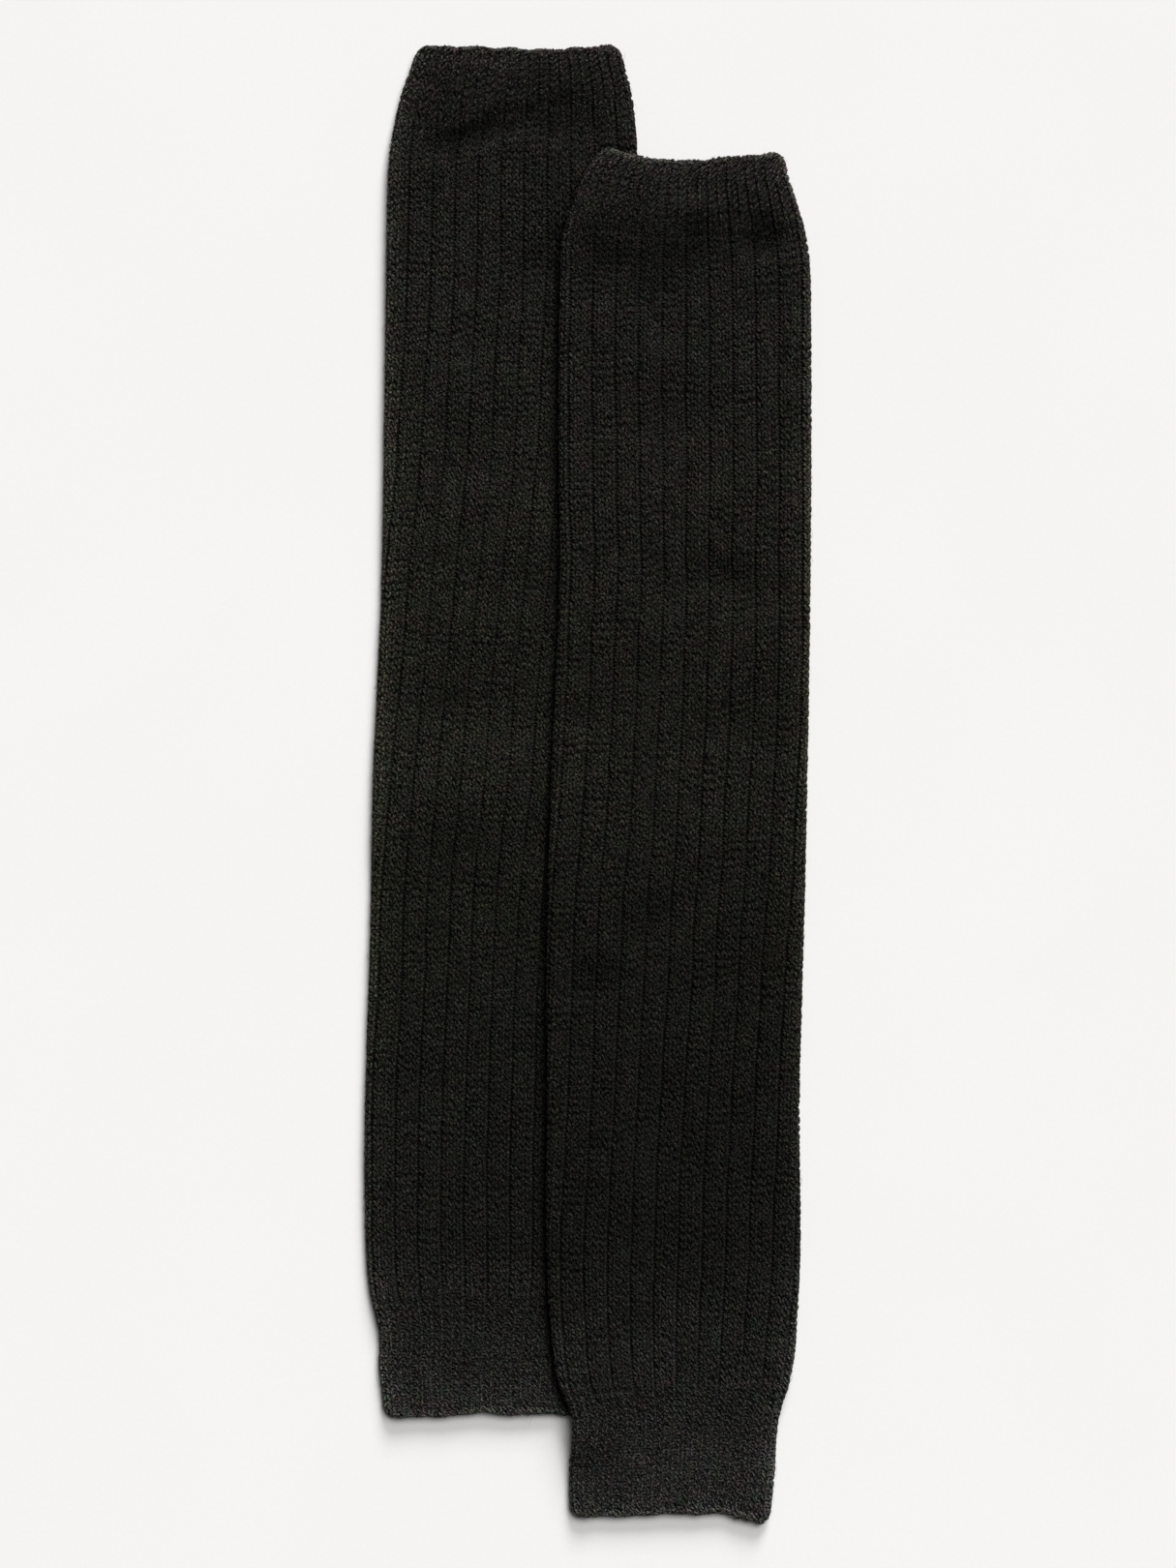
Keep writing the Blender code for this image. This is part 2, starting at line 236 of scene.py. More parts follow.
# Lines that run across the tube: how far each is raised towards the top, at five places across.
ACROSS = (0.0, 0.25, 0.5, 0.75, 1.0)
Line = namedtuple("Line", "down left left_mid middle right_mid right")
LEFT_LINES = rows(
    Line,
    (0.0, 1.3, 0.6, -0.2, -0.3, 1.3),
    (27.5, -1.5, -4.0, 1.5, 3.5, 4.5),
    (75.0, 0.0, 0.0, 0.0, 0.0, 0.0),
    (515.0, 0.0, 0.0, 0.0, 0.0, 0.0),
    (567.0, 1.4, 1.9, 3.2, 2.6, 1.6),
)
RIGHT_LINES = rows(
    Line,
    (0.0, 3.0, -1.1, -0.9, 0.2, 1.6),
    (28.5, 0.2, -0.8, -1.6, 0.6, 2.4),
    (75.0, 0.0, 0.0, 0.0, 0.0, 0.0),
    (507.0, 0.0, 0.0, 0.0, 0.0, 0.0),
    (562.0, 0.6, 0.5, 1.7, 2.0, -2.4),
)

# Soft folds in the upper side: their middle, half their length and width, the way they run
# (degrees from +X) and how far they rise, or sink where it is negative.
Crease = namedtuple("Crease", "x y length width angle rise")
LEFT_CREASES = rows(
    Crease,
    # the solids' folds
    (-48, 138, 50, 22, 4, -1.5),
    (-50, 32, 54, 22, -6, -1.9),
    (-66, -39, 38, 22, 8, -1.7),
    (-66, -126, 34, 24, -5, -1.2),
    # softer rises and hollows between them
    (-60, 164, 42, 24, -3, 1.3),
    (-40, 107, 46, 22, -5, 1.2),
    (-50, 0, 52, 22, 3, 1.6),
    (-46, -88, 44, 26, 10, 0.9),
    (-28, 66, 30, 18, 16, 0.8),
    (-34, -38, 24, 16, 0, 1.0),
    (-20, 219, 32, 19, 0, -2.3),
    (-11, 228, 8, 28, 0, -2.4),
    (-64, 34, 20, 14, 0, -0.5),
    (-63, -25, 20, 12, 0, -1.2),
    # hollows in the top cuff and where it draws the leg in
    (-24, 288, 24, 8, 2, -0.9),
    (-48, 262, 44, 15, 8, -0.7),
    (-52, 266, 20, 10, 24, -3.0),
    (-34, 274, 18, 9, 14, -2.6),
    (-66, 267, 13, 11, 30, -1.6),
    (-12, 278, 22, 12, -2, -2.8),
    (8, 276, 13, 11, 0, -1.8),
    (-47, 271, 16, 4.5, 26, -1.3),
    (-24, 279.5, 22, 4.5, 4, -0.7),
    (-16, 270, 32, 9, 2, -2.3),
    (4, 263, 15, 14, 0, -2.2),
    (-26, 205, 22, 19, 0, -1.6),
    (-31, -114, 20, 14, 0, -1.6),
)
RIGHT_CREASES = rows(
    Crease,
    # the solids' folds
    (28, 153, 54, 20, -4, -1.5),
    (58, 80, 40, 20, 6, -1.6),
    (14, 40, 34, 20, -8, -1.6),
    (30, -52, 48, 20, 30, -1.8),
    (28, -132, 58, 18, -68, -1.7),
    # long rises past the lower one's edge
    (45, 60, 190, 25, 90, 1.0),
    (40, -150, 130, 25, 88, 0.9),
    # softer rises and hollows
    (58, 176, 38, 20, 8, 1.2),
    (30, 116, 52, 20, -5, 1.3),
    (74, 160, 18, 18, 0, 0.8),
    (76, 122, 18, 18, 0, 0.9),
    (30, 160, 16, 14, 0, -1.0),
    (33, 80, 15, 11, 0, -1.4),
    (78, 56, 22, 22, -8, 2.4),
    (30, 6, 30, 20, 12, 1.0),
    (74, -58, 28, 22, -10, 2.0),
    (20, -112, 30, 20, 10, 0.8),
    (70, -213, 24, 22, 0, 1.4),
    (-6, -208, 14, 24, 0, 0.8),
    (33, 146, 22, 13, -4, -1.5),
    (55, 87, 30, 14, -4, -2.0),
    (28, 49, 17, 11, 0, -1.7),
    (-3, 28, 18, 13, 0, -2.1),
    (62, 25, 22, 20, 0, -2.1),
    (24, -56, 24, 12, 48, -1.1),
    (2, -81, 21, 15, 10, -2.9),
    (62, -160, 30, 24, 14, -1.0),
    (20, -186, 32, 22, -6, -1.4),
    # hollows in the top cuff and where it draws the leg in
    (66, 238, 21, 11, -18, -0.9),
    (40, 220, 62, 20, 0, -1.0),
    (22, 221, 40, 17, -2, -1.6),
    (60, 225, 40, 15, 7, -2.1),
    (13, 229, 12, 5, 0, -0.8),
    (43, 232, 13, 9, -2, -1.7),
    (70, 234, 14, 6, -4, -1.0),
    (74, 225, 15, 12, -6, -2.7),
    (32, 194, 32, 21, -8, -1.2),
    (-2, 208, 12, 16, 0, -1.2),
    (44, 246, 10, 12, 0, -1.4),
    (22, 208, 44, 20, 0, -1.6),
    (4, 219, 14, 15, 0, -1.2),
)

# The knit's brightness and its shares of red and blue, at a distance up from the middle: darker along the
# middle and lower legs, lighter and greyer towards the ankles, and with painted shade in the bands just
# below the top cuffs.
Shade = namedtuple("Shade", "height brightness red blue")
LEFT_SHADES = rows(
    Shade,
    (-262, 1.86, 0.98, 1.13),
    (-212, 1.13, 0.99, 1.07),
    (-184, 0.71, 0.97, 1.00),
    (-30, 0.84, 0.95, 0.86),
    (8, 1.15, 0.98, 0.92),
    (50, 1.03, 0.98, 0.89),
    (150, 1.14, 1.01, 0.98),
    (230, 1.03, 1.00, 1.04),
    (266, 0.90, 1.02, 1.04),
    (277, 0.97, 1.03, 1.04),
    (285, 1.17, 1.04, 1.05),
    (294, 1.22, 1.05, 1.08),
    (300, 1.48, 1.07, 1.12),
)
RIGHT_SHADES = rows(
    Shade,
    (-300, 1.93, 1.00, 1.17),
    (-284, 1.96, 1.00, 1.16),
    (-264, 1.45, 0.99, 1.13),
    (-240, 1.18, 0.99, 1.10),
    (-190, 0.58, 0.97, 1.00),
    (-60, 0.68, 0.99, 0.91),
    (4, 1.02, 1.01, 0.94),
    (30, 0.94, 1.00, 0.91),
    (130, 1.06, 1.03, 0.98),
    (190, 1.02, 1.01, 1.03),
    (222, 0.80, 1.02, 1.02),
    (248, 1.40, 1.03, 1.10),
    (256, 1.74, 1.05, 1.12),
)

# A stitch: the outer face of its rib, its knit wales and the bumps between them, how high its ribs
# stand, how much its loops differ in lightness and the material slot that it belongs to.
Stitch = namedtuple("Stitch", "rib wales purls rib_height uneven slot")
TOP_STITCH = Stitch(CUFF_RIB, CUFF_WALES, CUFF_PURLS, CUFF_RIB_HEIGHT, 1.2, "cuff_knit")
LEG_STITCH = Stitch(LEG_RIB, LEG_WALES, None, LEG_RIB_HEIGHT, 0.6, "leg_knit")
ANKLE_STITCH = Stitch(ANKLE_RIB, CUFF_WALES, ANKLE_PURLS, ANKLE_RIB_HEIGHT, 0.3, "cuff_knit")

# A stretch is one tube between two places down the garment.
Stretch = namedtuple("Stretch", "node start end stitch")
# A garment lies with its top edge at top_y, and may lie over another one. rolls is how full its two
# side folds are and edge_light how much painted light they get, and seed is for its random draws.
Garment = namedtuple(
    "Garment", "top_y length lie lines creases shades rolls edge_light over seed stretches"
)

LEFT = Garment(
    top_y=304.0,
    length=567.0,
    lie=LEFT_LIE,
    lines=LEFT_LINES,
    creases=LEFT_CREASES,
    shades=LEFT_SHADES,
    rolls=(1, 0),
    edge_light=(1.3, 0.35),
    over=None,
    seed=3,
    stretches=(
        Stretch("left_top_cuff", 0.0, 27.5, TOP_STITCH),
        Stretch("left_leg", 27.5, 515.0, LEG_STITCH),
        Stretch("left_ankle_cuff", 515.0, 567.0, ANKLE_STITCH),
    ),
)
RIGHT = Garment(
    top_y=258.8,
    length=562.0,
    lie=RIGHT_LIE,
    lines=RIGHT_LINES,
    creases=RIGHT_CREASES,
    shades=RIGHT_SHADES,
    rolls=(1, 1),
    edge_light=(0.2, 1.1),
    over=LEFT,
    seed=7,
    stretches=(
        Stretch("right_top_cuff", 0.0, 28.5, TOP_STITCH),
        Stretch("right_leg", 28.5, 507.0, LEG_STITCH),
        Stretch("right_ankle_cuff", 507.0, 562.0, ANKLE_STITCH),
    ),
)


# ---- the surface of a tube ----


def eased(share):
    """0 up to a share of 0 and 1 from a share of 1, with a soft start and end."""
    share = np.clip(share, 0.0, 1.0)
    return share * share * (3 - 2 * share)


def between(places, values, at):
    """The values at some places, on a smooth curve through the values at the given places."""
    places, values = np.asarray(places, float), np.asarray(values, float)
    at = np.clip(at, places[0], places[-1])
    last = len(places) - 1
    low, high = np.maximum(np.arange(last + 1) - 1, 0), np.minimum(np.arange(last + 1) + 1, last)
    slopes = (values[high] - values[low]) / (places[high] - places[low])
    i = np.clip(np.searchsorted(places, at, side="right") - 1, 0, last - 1)
    step = places[i + 1] - places[i]
    t = (at - places[i]) / step
    return (
        (1 + 2 * t) * (1 - t) ** 2 * values[i]
        + t * (1 - t) ** 2 * step * slopes[i]
        + t * t * (3 - 2 * t) * values[i + 1]
        + t * t * (t - 1) * step * slopes[i + 1]
    )


def lie_at(garment, column, down):
    """One column of the garment's lie at a distance down from its top edge."""
    return between([row.down for row in garment.lie], [getattr(row, column) for row in garment.lie], down)


def side_at(garment, side, y):
    """Where the garment's left or right side lies, this far up from the middle."""
    return lie_at(garment, side, garment.top_y - y)


def from_edge(garment, down):
    """How far a place is from the nearer free edge."""
    return np.minimum(down, garment.length - down)


def raised_at(garment, down, across):
    """How far a line across the tube is raised, at a share of the way across it."""
    downs = np.array([row.down for row in garment.lines])
    curves = [between(ACROSS, row[1:], across) for row in garment.lines]
    raised = np.zeros(np.shape(down))
    for i in range(len(downs) - 1):
        here = (down >= downs[i]) if i else np.full(np.shape(down), True)
        share = np.clip((down - downs[i]) / (downs[i + 1] - downs[i]), 0, 1)
        raised = np.where(here, curves[i] + (curves[i + 1] - curves[i]) * share, raised)
    near_edge = np.exp(-from_edge(garment, down) / CORNER)
    return raised + EDGE_SWAY * near_edge * waves(across * WIDTH, down, garment.seed + 2, EDGE_WAVE)


WAVE_LENGTHS = (0.7, 1.6)  # of the shortest and the longest waves of smooth noise, as shares


def waves(one, other, seed, length, count=7):
    """Smooth noise of about -1 to 1 over two coordinates, with waves of about the given length."""
    draw = np.random.default_rng(seed)
    total = 0.0
    for _ in range(count):
        way, phase = draw.uniform(0, 2 * math.pi, 2)
        pitch = 2 * math.pi / (length * draw.uniform(*WAVE_LENGTHS))
        total = total + np.sin((one * math.cos(way) + other * math.sin(way)) * pitch + phase)
    return total / math.sqrt(count)


def relief(garment, x, y):
    """The soft folds' height at a place, with the unevenness of soft cloth."""
    height = UNEVEN * waves(x, y, garment.seed, UNEVEN_WAVE)
    for crease in garment.creases:
        turn = math.radians(crease.angle)
        dx, dy = x - crease.x, y - crease.y
        along = (dx * math.cos(turn) + dy * math.sin(turn)) / crease.length
        across = (dy * math.cos(turn) - dx * math.sin(turn)) / crease.width
        height = height + crease.rise * np.maximum(1 - along * along - across * across, 0.0) ** 2
    return height


def bed(garment, x, y, ramp):
    """The height of what the garment lies on: the floor, or the garment under it and a ramp down."""
    if garment.over is None:
        return np.zeros(np.shape(x))
    lower = garment.over
    height = lie_at(lower, "loft", lower.top_y - y) + LEG_RIB_HEIGHT + CLEARANCE
    beside = x - side_at(lower, "right", y)
    below = lower.top_y - lower.length - OVERHANG - y
    return height * (1 - eased(beside / ramp)) * (1 - eased(below / ramp))


def given_way(garment, x, y):
    """How far the lower garment is pressed down, next to the upper one's side and under it."""
    if garment.over is not None:
        return 0.0
    beside = side_at(RIGHT, "left", y) + PRESSED_FROM - x
    above = y - RIGHT.top_y
    return PRESSED * (1 - eased(beside / PRESSED_REACH)) * (1 - eased(above / PRESSED_REACH))


def levels(garment, x, y, down):
    """The heights of the tube's plain underside and upper side at a place."""
    roll = 0.0
    for column, sign, share in zip(("left", "right"), (1, -1), garment.rolls):
        inside = sign * (x - lie_at(garment, column, down))
        roll = roll + share * EDGE_ROLL * (1 - eased(inside / EDGE_REACH))
    low = bed(garment, x, y, UNDER_RAMP)
    high = bed(garment, x, y, OVER_RAMP) + lie_at(garment, "loft", down) + roll + relief(garment, x, y)
    return low, high - given_way(garment, x, y)


def corner_inset(garment, down):
    """How far a side is drawn in near a free edge, which rounds the corner."""
    share = np.clip(1 - from_edge(garment, down) / CORNER, 0, 1)
    return CORNER_DEPTH * (1 - np.sqrt(1 - CORNER_TURN * share * share))


def folds_at(garment, down):
    """Where the plain outer face turns over at the two sides."""
    inset = SIDE_RIB + corner_inset(garment, down)
    return lie_at(garment, "left", down) + inset, lie_at(garment, "right", down) - inset


def half_round(garment, down):
    """The way round the upper side, from the middle of one side fold to the middle of the other."""
    left, right = folds_at(garment, down)
    return right - left - 2 * FOLD + math.pi * FOLD


def section_points(garment, down, arc, out):
    """Points of the tube: arc is the way round from the left fold's middle, over the top.

    out is how far each stands out from the plain outer face, and it fades out as the face turns
    down to the floor.
    """
    down, arc, out = np.broadcast_arrays(down, arc, out)
    half = half_round(garment, down)
    arc = arc % (2 * half)
    upper = arc <= half
    along = np.where(upper, arc, 2 * half - arc)
    left, right = folds_at(garment, down)
    quarter = FOLD * math.pi / 2
    angle = np.minimum(np.minimum(along, half - along), quarter) / FOLD
    inward = FOLD * (1 - np.cos(angle))
    at_left, at_right = along < quarter, along > half - quarter
    x = np.where(at_left, left + inward, np.where(at_right, right - inward, left + FOLD + along - quarter))
    way = np.where(at_left, -1.0, np.where(at_right, 1.0, 0.0))
    out = np.where(~upper & (out > 0), out * np.cos(angle) ** 2, out)
    y = garment.top_y - down + raised_at(garment, down, (x - left) / (right - left))
    low, high = levels(garment, x, y, down)
    thick = (high - low) / 2
    out = np.maximum(out, BARE_WALL - thick)
    z = (low + high) / 2 + np.where(upper, 1.0, -1.0) * np.sin(angle) * (thick + out)
    return np.stack([x + way * np.cos(angle) * out, y, z], axis=-1)


def arc_of(garment, down, place):
    """The way round to a place given in ribs, which has turned with the tube and wanders a little."""
    rib = half_round(garment, down) / REPEATS_ON_TOP
    sway = SWAY * waves(down, place * REPEAT_WIDTH, garment.seed + 1, SWAY_WAVE)
    sway = sway + WOBBLE * waves(down, place * REPEAT_WIDTH, garment.seed + 5, WOBBLE_WAVE)
    return (place + lie_at(garment, "turn", down)) * rib + sway


# ---- meshes ----


def placed(name, data):
    """A new object in the scene."""
    made = bpy.data.objects.new(name, data)
    bpy.context.scene.collection.objects.link(made)
    return made


def made_object(name, points, faces, maps, material):
    """A piece from its points in millimetres, faces of one or more sizes and maps of each face corner."""
    mesh = bpy.data.meshes.new(name)
    sizes = np.concatenate([np.full(len(part), part.shape[1]) for part in faces])
    corners = np.concatenate([part.ravel() for part in faces])
    mesh.vertices.add(len(points))
    mesh.vertices.foreach_set("co", (points * MM).astype(np.float32).ravel())
    mesh.loops.add(len(corners))
    mesh.loops.foreach_set("vertex_index", corners.astype(np.int32))
    mesh.polygons.add(len(sizes))
    mesh.polygons.foreach_set("loop_start", (np.cumsum(sizes) - sizes).astype(np.int32))
    mesh.update(calc_edges=True)
    for map_name, places in maps.items():
        layer = mesh.uv_layers.new(name=map_name, do_init=False)
        layer.uv.foreach_set("vector", places.astype(np.float32).ravel())
    mesh.validate()
    mesh.shade_smooth()
    mesh.materials.append(material)
    return placed(name, mesh)


def rib_columns(garment, stretch):
    """The columns of the outer face: place in ribs, whether it is ribbed there, and place in wales."""
    turns = [row.turn for row in garment.lie]
    first = -math.ceil(CARRIED_ON + max(turns))
    last = REPEATS_ON_TOP + math.ceil(CARRIED_ON - min(turns))
    columns = [
        (rib + point.share, True, rib * WALES_IN_REPEAT + point.wale)
        for rib in range(first, last)
        for point in stretch.stitch.rib
    ]
    for k in range(PLAIN_POINTS):
        place = last + (first + REPEATS - last) / PLAIN_POINTS * k
        columns.append((place, False, place * WALES_IN_REPEAT))
    return np.array(columns).T


def inner_shares():
    """The places round the plain inside, as shares of half the way round, close together at the folds."""
    fold_share = 0.05
    flat = np.linspace(fold_share, 1 - fold_share, INSIDE_POINTS)
    one_side = np.concatenate([[0.0, fold_share / 2], flat, [1 - fold_share / 2]])
    return np.concatenate([one_side, 1 + one_side])


def stations_of(garment, stretch, step):
    """Places down the stretch and how far its faces are drawn together there, at a free edge."""
    free_start, free_end = stretch.start == 0, stretch.end == garment.length
    start = stretch.start + (0 if free_start else SEAM_GAP / 2)
    end = stretch.end - (0 if free_end else SEAM_GAP / 2)
    inner_start = start + (LIP if free_start else 0)
    inner_end = end - (LIP if free_end else 0)
    downs = np.linspace(inner_start, inner_end, max(round((inner_end - inner_start) / step), 2) + 1)
    sinks = np.zeros(len(downs))
    if free_start:
        downs, sinks = np.insert(downs, 0, start), np.insert(sinks, 0, LIP)
    if free_end:
        downs, sinks = np.append(downs, end), np.append(sinks, LIP)
    return downs, sinks


# The parts of the bake's map that the faces take, across and down, and the ends past them
OUTER_MAP, INNER_MAP, FACES_MAP = (0.0, 0.70), (0.71, 1.0), (0.02, 0.98)
START_MAP, END_MAP = (0.0, 0.016), (0.984, 1.0)


def face_of(downs, wales, first_point, strip, outward):
    """The quads of one face of a tube, and the places of their corners in the knit's and the bake's maps."""
    columns = len(wales) - 1
    row, column = np.meshgrid(np.arange(len(downs) - 1), np.arange(columns), indexing="ij")
    row = np.stack([row, row + 1, row + 1, row], -1).reshape(-1, 4)
    column = np.stack([column, column, column + 1, column + 1], -1).reshape(-1, 4)
    if not outward:
        row, column = row[:, ::-1], column[:, ::-1]
    (left, right), (low, high) = strip, FACES_MAP
    u = left + (right - left) * column / columns
    v = low + (high - low) * row / (len(downs) - 1)
    knit = np.stack([wales[column], downs[row] / COURSE], -1)
    return first_point + row * columns + column % columns, knit, np.stack([u, v], -1)


def zipped(outer, inner):
    """Triangles between two rings at one end, as (is it the outer ring's, its number) for each corner."""
    outer_order, inner_order = np.argsort(outer), np.argsort(inner)
    outer_way = np.append(outer[outer_order], outer[outer_order][0] + 1)
    inner_way = np.append(inner[inner_order], inner[inner_order][0] + 1)
    i = j = 0
    faces = []
    while i < len(outer) or j < len(inner):
        here = (True, outer_order[i % len(outer)], outer_way[i])
        there = (False, inner_order[j % len(inner)], inner_way[j])
        if j == len(inner) or (i < len(outer) and outer_way[i + 1] <= inner_way[j + 1]):
            i += 1
            faces.append((here, (True, outer_order[i % len(outer)], outer_way[i]), there))
        else:
            j += 1
            faces.append((here, (False, inner_order[j % len(inner)], inner_way[j]), there))
    return faces


def end_of(outer_ways, first_outer, first_inner, strip, is_start):
    """The triangles that close a tube's wall at one end, and their corners' places in the two maps."""
    triangles = zipped(outer_ways, inner_shares() / 2)
    if not is_start:
        triangles = [face[::-1] for face in triangles]
    is_outer, number, way = (
        np.array([[corner[part] for corner in face] for face in triangles]) for part in range(3)
    )
    knit = np.stack([way * REPEATS * WALES_IN_REPEAT, np.where(is_outer, 0.0, 0.5)], -1)
    bake = np.stack([way / 2, np.where(is_outer, *strip)], -1)
    return np.where(is_outer, first_outer, first_inner) + number, knit, bake


def build_tube(garment, stretch, material):
    """The knitted tube of one stretch, as a closed wall."""
    places, ribbed, wales = rib_columns(garment, stretch)
    downs, sinks = stations_of(garment, stretch, COURSE)
    arcs = arc_of(garment, downs[:, None], places[None, :])
    outs = ribbed * (crest_height(garment, stretch, places[None, :], downs[:, None]) - TUBE_SINK)
    outer = section_points(garment, downs[:, None], arcs, outs - sinks[:, None])
    inner_downs, inner_sinks = stations_of(garment, stretch, INSIDE_STEP)
    inner_arcs = inner_shares()[None, :] * half_round(garment, inner_downs)[:, None]
    inner = section_points(garment, inner_downs[:, None], inner_arcs, inner_sinks[:, None] - WALL)

    wales_round = REPEATS * WALES_IN_REPEAT
    outer_wales = np.append(wales, wales[0] + wales_round)
    inner_wales = np.arange(inner.shape[1] + 1) / inner.shape[1] * wales_round
    outer_count, all_outer = len(places), outer.size // 3
    all_points = all_outer + inner.size // 3
    ways = (arcs / (2 * half_round(garment, downs))[:, None]) % 1
    parts = (
        face_of(downs, outer_wales, 0, OUTER_MAP, outward=True),
        face_of(inner_downs, inner_wales, all_outer, INNER_MAP, outward=False),
        end_of(ways[0], 0, all_outer, START_MAP, is_start=True),
        end_of(ways[-1], all_outer - outer_count, all_points - inner.shape[1], END_MAP, is_start=False),
    )
    faces, knit, bake = zip(*parts)
    points = np.concatenate([outer.reshape(-1, 3), inner.reshape(-1, 3)])
    maps = {
        "Knit": np.concatenate([part.reshape(-1, 2) for part in knit]),
        "OFBake": np.concatenate([part.reshape(-1, 2) for part in bake]),
    }
    return made_object(stretch.node + "_tube", points, faces, maps, material)


# ---- strands ----

# Many strands, each a row of rings with a point at both ends. Each starts from a place in ribs and
# a distance down the garment. line is each one's way from there: round the tube, down it and out
# from it. width and thick are half of what its rings measure. Its rings lie flat along the fabric
# unless flat gives the way that they are wide in.
Strands = namedtuple("Strands", "place down line flat width thick tone")
YARN_SIDES = (-0.20, 1.05, 2.09, 3.34)  # the angles of a ring's points, flat below
FIBRE_SIDES = (math.pi / 6, math.pi * 5 / 6, math.pi * 3 / 2)


def strand_faces(rings, sides):
    """One strand's quads and triangles, with each face corner's place round it and along it."""
    head, foot = rings * sides, rings * sides + 1
    quads, triangles, quad_maps, triangle_maps = [], [], [], []
    first, last = 1 / (rings + 1), rings / (rings + 1)
    for k in range(sides):
        following = (k + 1) % sides
        one, other = k / sides, (k + 1) / sides
        for ring in range(rings - 1):
            low, high = ring * sides, (ring + 1) * sides
            quads.append((low + k, low + following, high + following, high + k))
            v, w = (ring + 1) / (rings + 1), (ring + 2) / (rings + 1)
            quad_maps.append(((one, v), (other, v), (other, w), (one, w)))
        bottom = (rings - 1) * sides
        triangles += [(head, following, k), (foot, bottom + k, bottom + following)]
        triangle_maps.append((((one + other) / 2, 0.0), (other, first), (one, first)))
        triangle_maps.append((((one + other) / 2, 1.0), (one, last), (other, last)))
    return np.array(quads), np.array(triangles), np.array(quad_maps), np.array(triangle_maps)


def flat_ways(line):
    """The way across each strand along the fabric."""
    way = np.gradient(line, axis=1)
    across = np.stack([way[..., 1], -way[..., 0], np.zeros(way.shape[:2])], axis=-1)
    return across / np.linalg.norm(across, axis=2, keepdims=True)


def strand_points(garment, strands, sides):
    """Every strand's points, with a row for each strand."""
    along = np.gradient(strands.line, axis=1)
    along = along / np.linalg.norm(along, axis=2, keepdims=True)
    rings = slice(1, -1)
    flat = strands.flat[:, rings, None, :]
    standing = np.cross(strands.flat, along)[:, rings, None, :]
    wide = strands.width[:, rings, None, None] * np.cos(sides)[:, None] * flat
    high = strands.thick[:, rings, None, None] * np.sin(sides)[:, None] * standing
    round_it = strands.line[:, rings, None, :] + wide + high
    local = np.concatenate([round_it.reshape(len(strands.place), -1, 3), strands.line[:, [0, -1]]], axis=1)
    arc = arc_of(garment, strands.down[:, None], strands.place[:, None]) + local[..., 0]
    return section_points(garment, strands.down[:, None] + local[..., 1], arc, local[..., 2])


CELL_INSET = 0.05  # how far a strand's place in the bake's map is drawn in from its square cell


def build_strands(name, garment, strands, sides, material):
    """One piece of many strands."""
    rings = strands.line.shape[1] - 2
    quads, triangles, quad_maps, triangle_maps = strand_faces(rings, len(sides))
    points = strand_points(garment, strands, sides)
    count, points_each = points.shape[:2]
    starts = np.arange(count)[:, None, None] * points_each
    faces = [(starts + part[None]).reshape(-1, part.shape[1]) for part in (quads, triangles)]
    cells = math.ceil(math.sqrt(count))
    cell = np.stack([np.arange(count) % cells, np.arange(count) // cells], -1)[:, None, None, :]
    yarn, bake = [], []
    for part in (quad_maps, triangle_maps):
        yarn.append(np.broadcast_to(part[None], (count, *part.shape)).reshape(-1, 2))
        inset = CELL_INSET + (1 - 2 * CELL_INSET) * part[None]
        bake.append(((cell + inset) / cells).reshape(-1, 2))
    maps = {"Yarn": np.concatenate(yarn), "OFBake": np.concatenate(bake)}
    made = made_object(name, points.reshape(-1, 3), faces, maps, material)
    tone = made.data.attributes.new("tone", "FLOAT", "POINT")
    tone.data.foreach_set("value", np.repeat(strands.tone, points_each).astype(np.float32))
    return made


def picked(strands, which):
    """Some of the strands."""
    return Strands(*(column[which] for column in strands))


def strands_of(place, down, ways, width, thick, tone, flat=None):
    """Strands from their lines' ways round the tube, down it and out from it."""
    line = np.stack(np.broadcast_arrays(*ways), axis=-1)
    return Strands(place, down, line, flat_ways(line) if flat is None else flat, width, thick, tone)


def draws_for(garment, stretch, number):
    """The random draws for one kind of strand."""
    return np.random.default_rng(garment.seed * 100 + round(stretch.start) + number)


def shown(garment, place, down):
    """Whether each place is on the upper side or a side fold, and not hidden by the other garment."""
    arc = arc_of(garment, down, place)
    half = half_round(garment, down)
    margin = STRANDS_TO * half / REPEATS_ON_TOP
    seen = (arc > -margin) & (arc < half + margin)
    if garment is LEFT:
        x, y, _ = section_points(garment, down, arc, 0.0).T
        seen &= (x < side_at(RIGHT, "left", y) + HIDDEN_BY) | (RIGHT.top_y - y < HIDDEN_BY)
    return seen


def ribs_round(garment):
    """The numbers of the rib repeats that may show."""
    turns = [row.turn for row in garment.lie]
    return np.arange(math.floor(-max(turns)) - 1, REPEATS_ON_TOP + math.ceil(-min(turns)) + 1)


def crest_at(stretch, place):
    """How far the crest stands out at a place in ribs."""
    rib = stretch.stitch.rib
    shares = [point.share for point in rib] + [1.0]
    heights = [point.height for point in rib] + [rib[0].height]
    return np.interp(place % 1, shares, heights) * stretch.stitch.rib_height


def swayed(garment, place, down):
    """A stitch's distance down, which wanders a little along its course, but not at a free edge."""
    sway = COURSE_SWAY * waves(place * REPEAT_WIDTH, down, garment.seed + 4, COURSE_WAVE)
    return down + sway * eased(from_edge(garment, down) / CALM_EDGE)


def seam_share(garment, stretch, down):
    """How near a place is to the seam with the next stretch: 1 at it and 0 away from it."""
    share = 0.0
    for seam in (stretch.start, stretch.end):
        if 0 < seam < garment.length:
            share = share + 1 - eased(np.abs(down - seam) / SEAM_REACH)
    return share


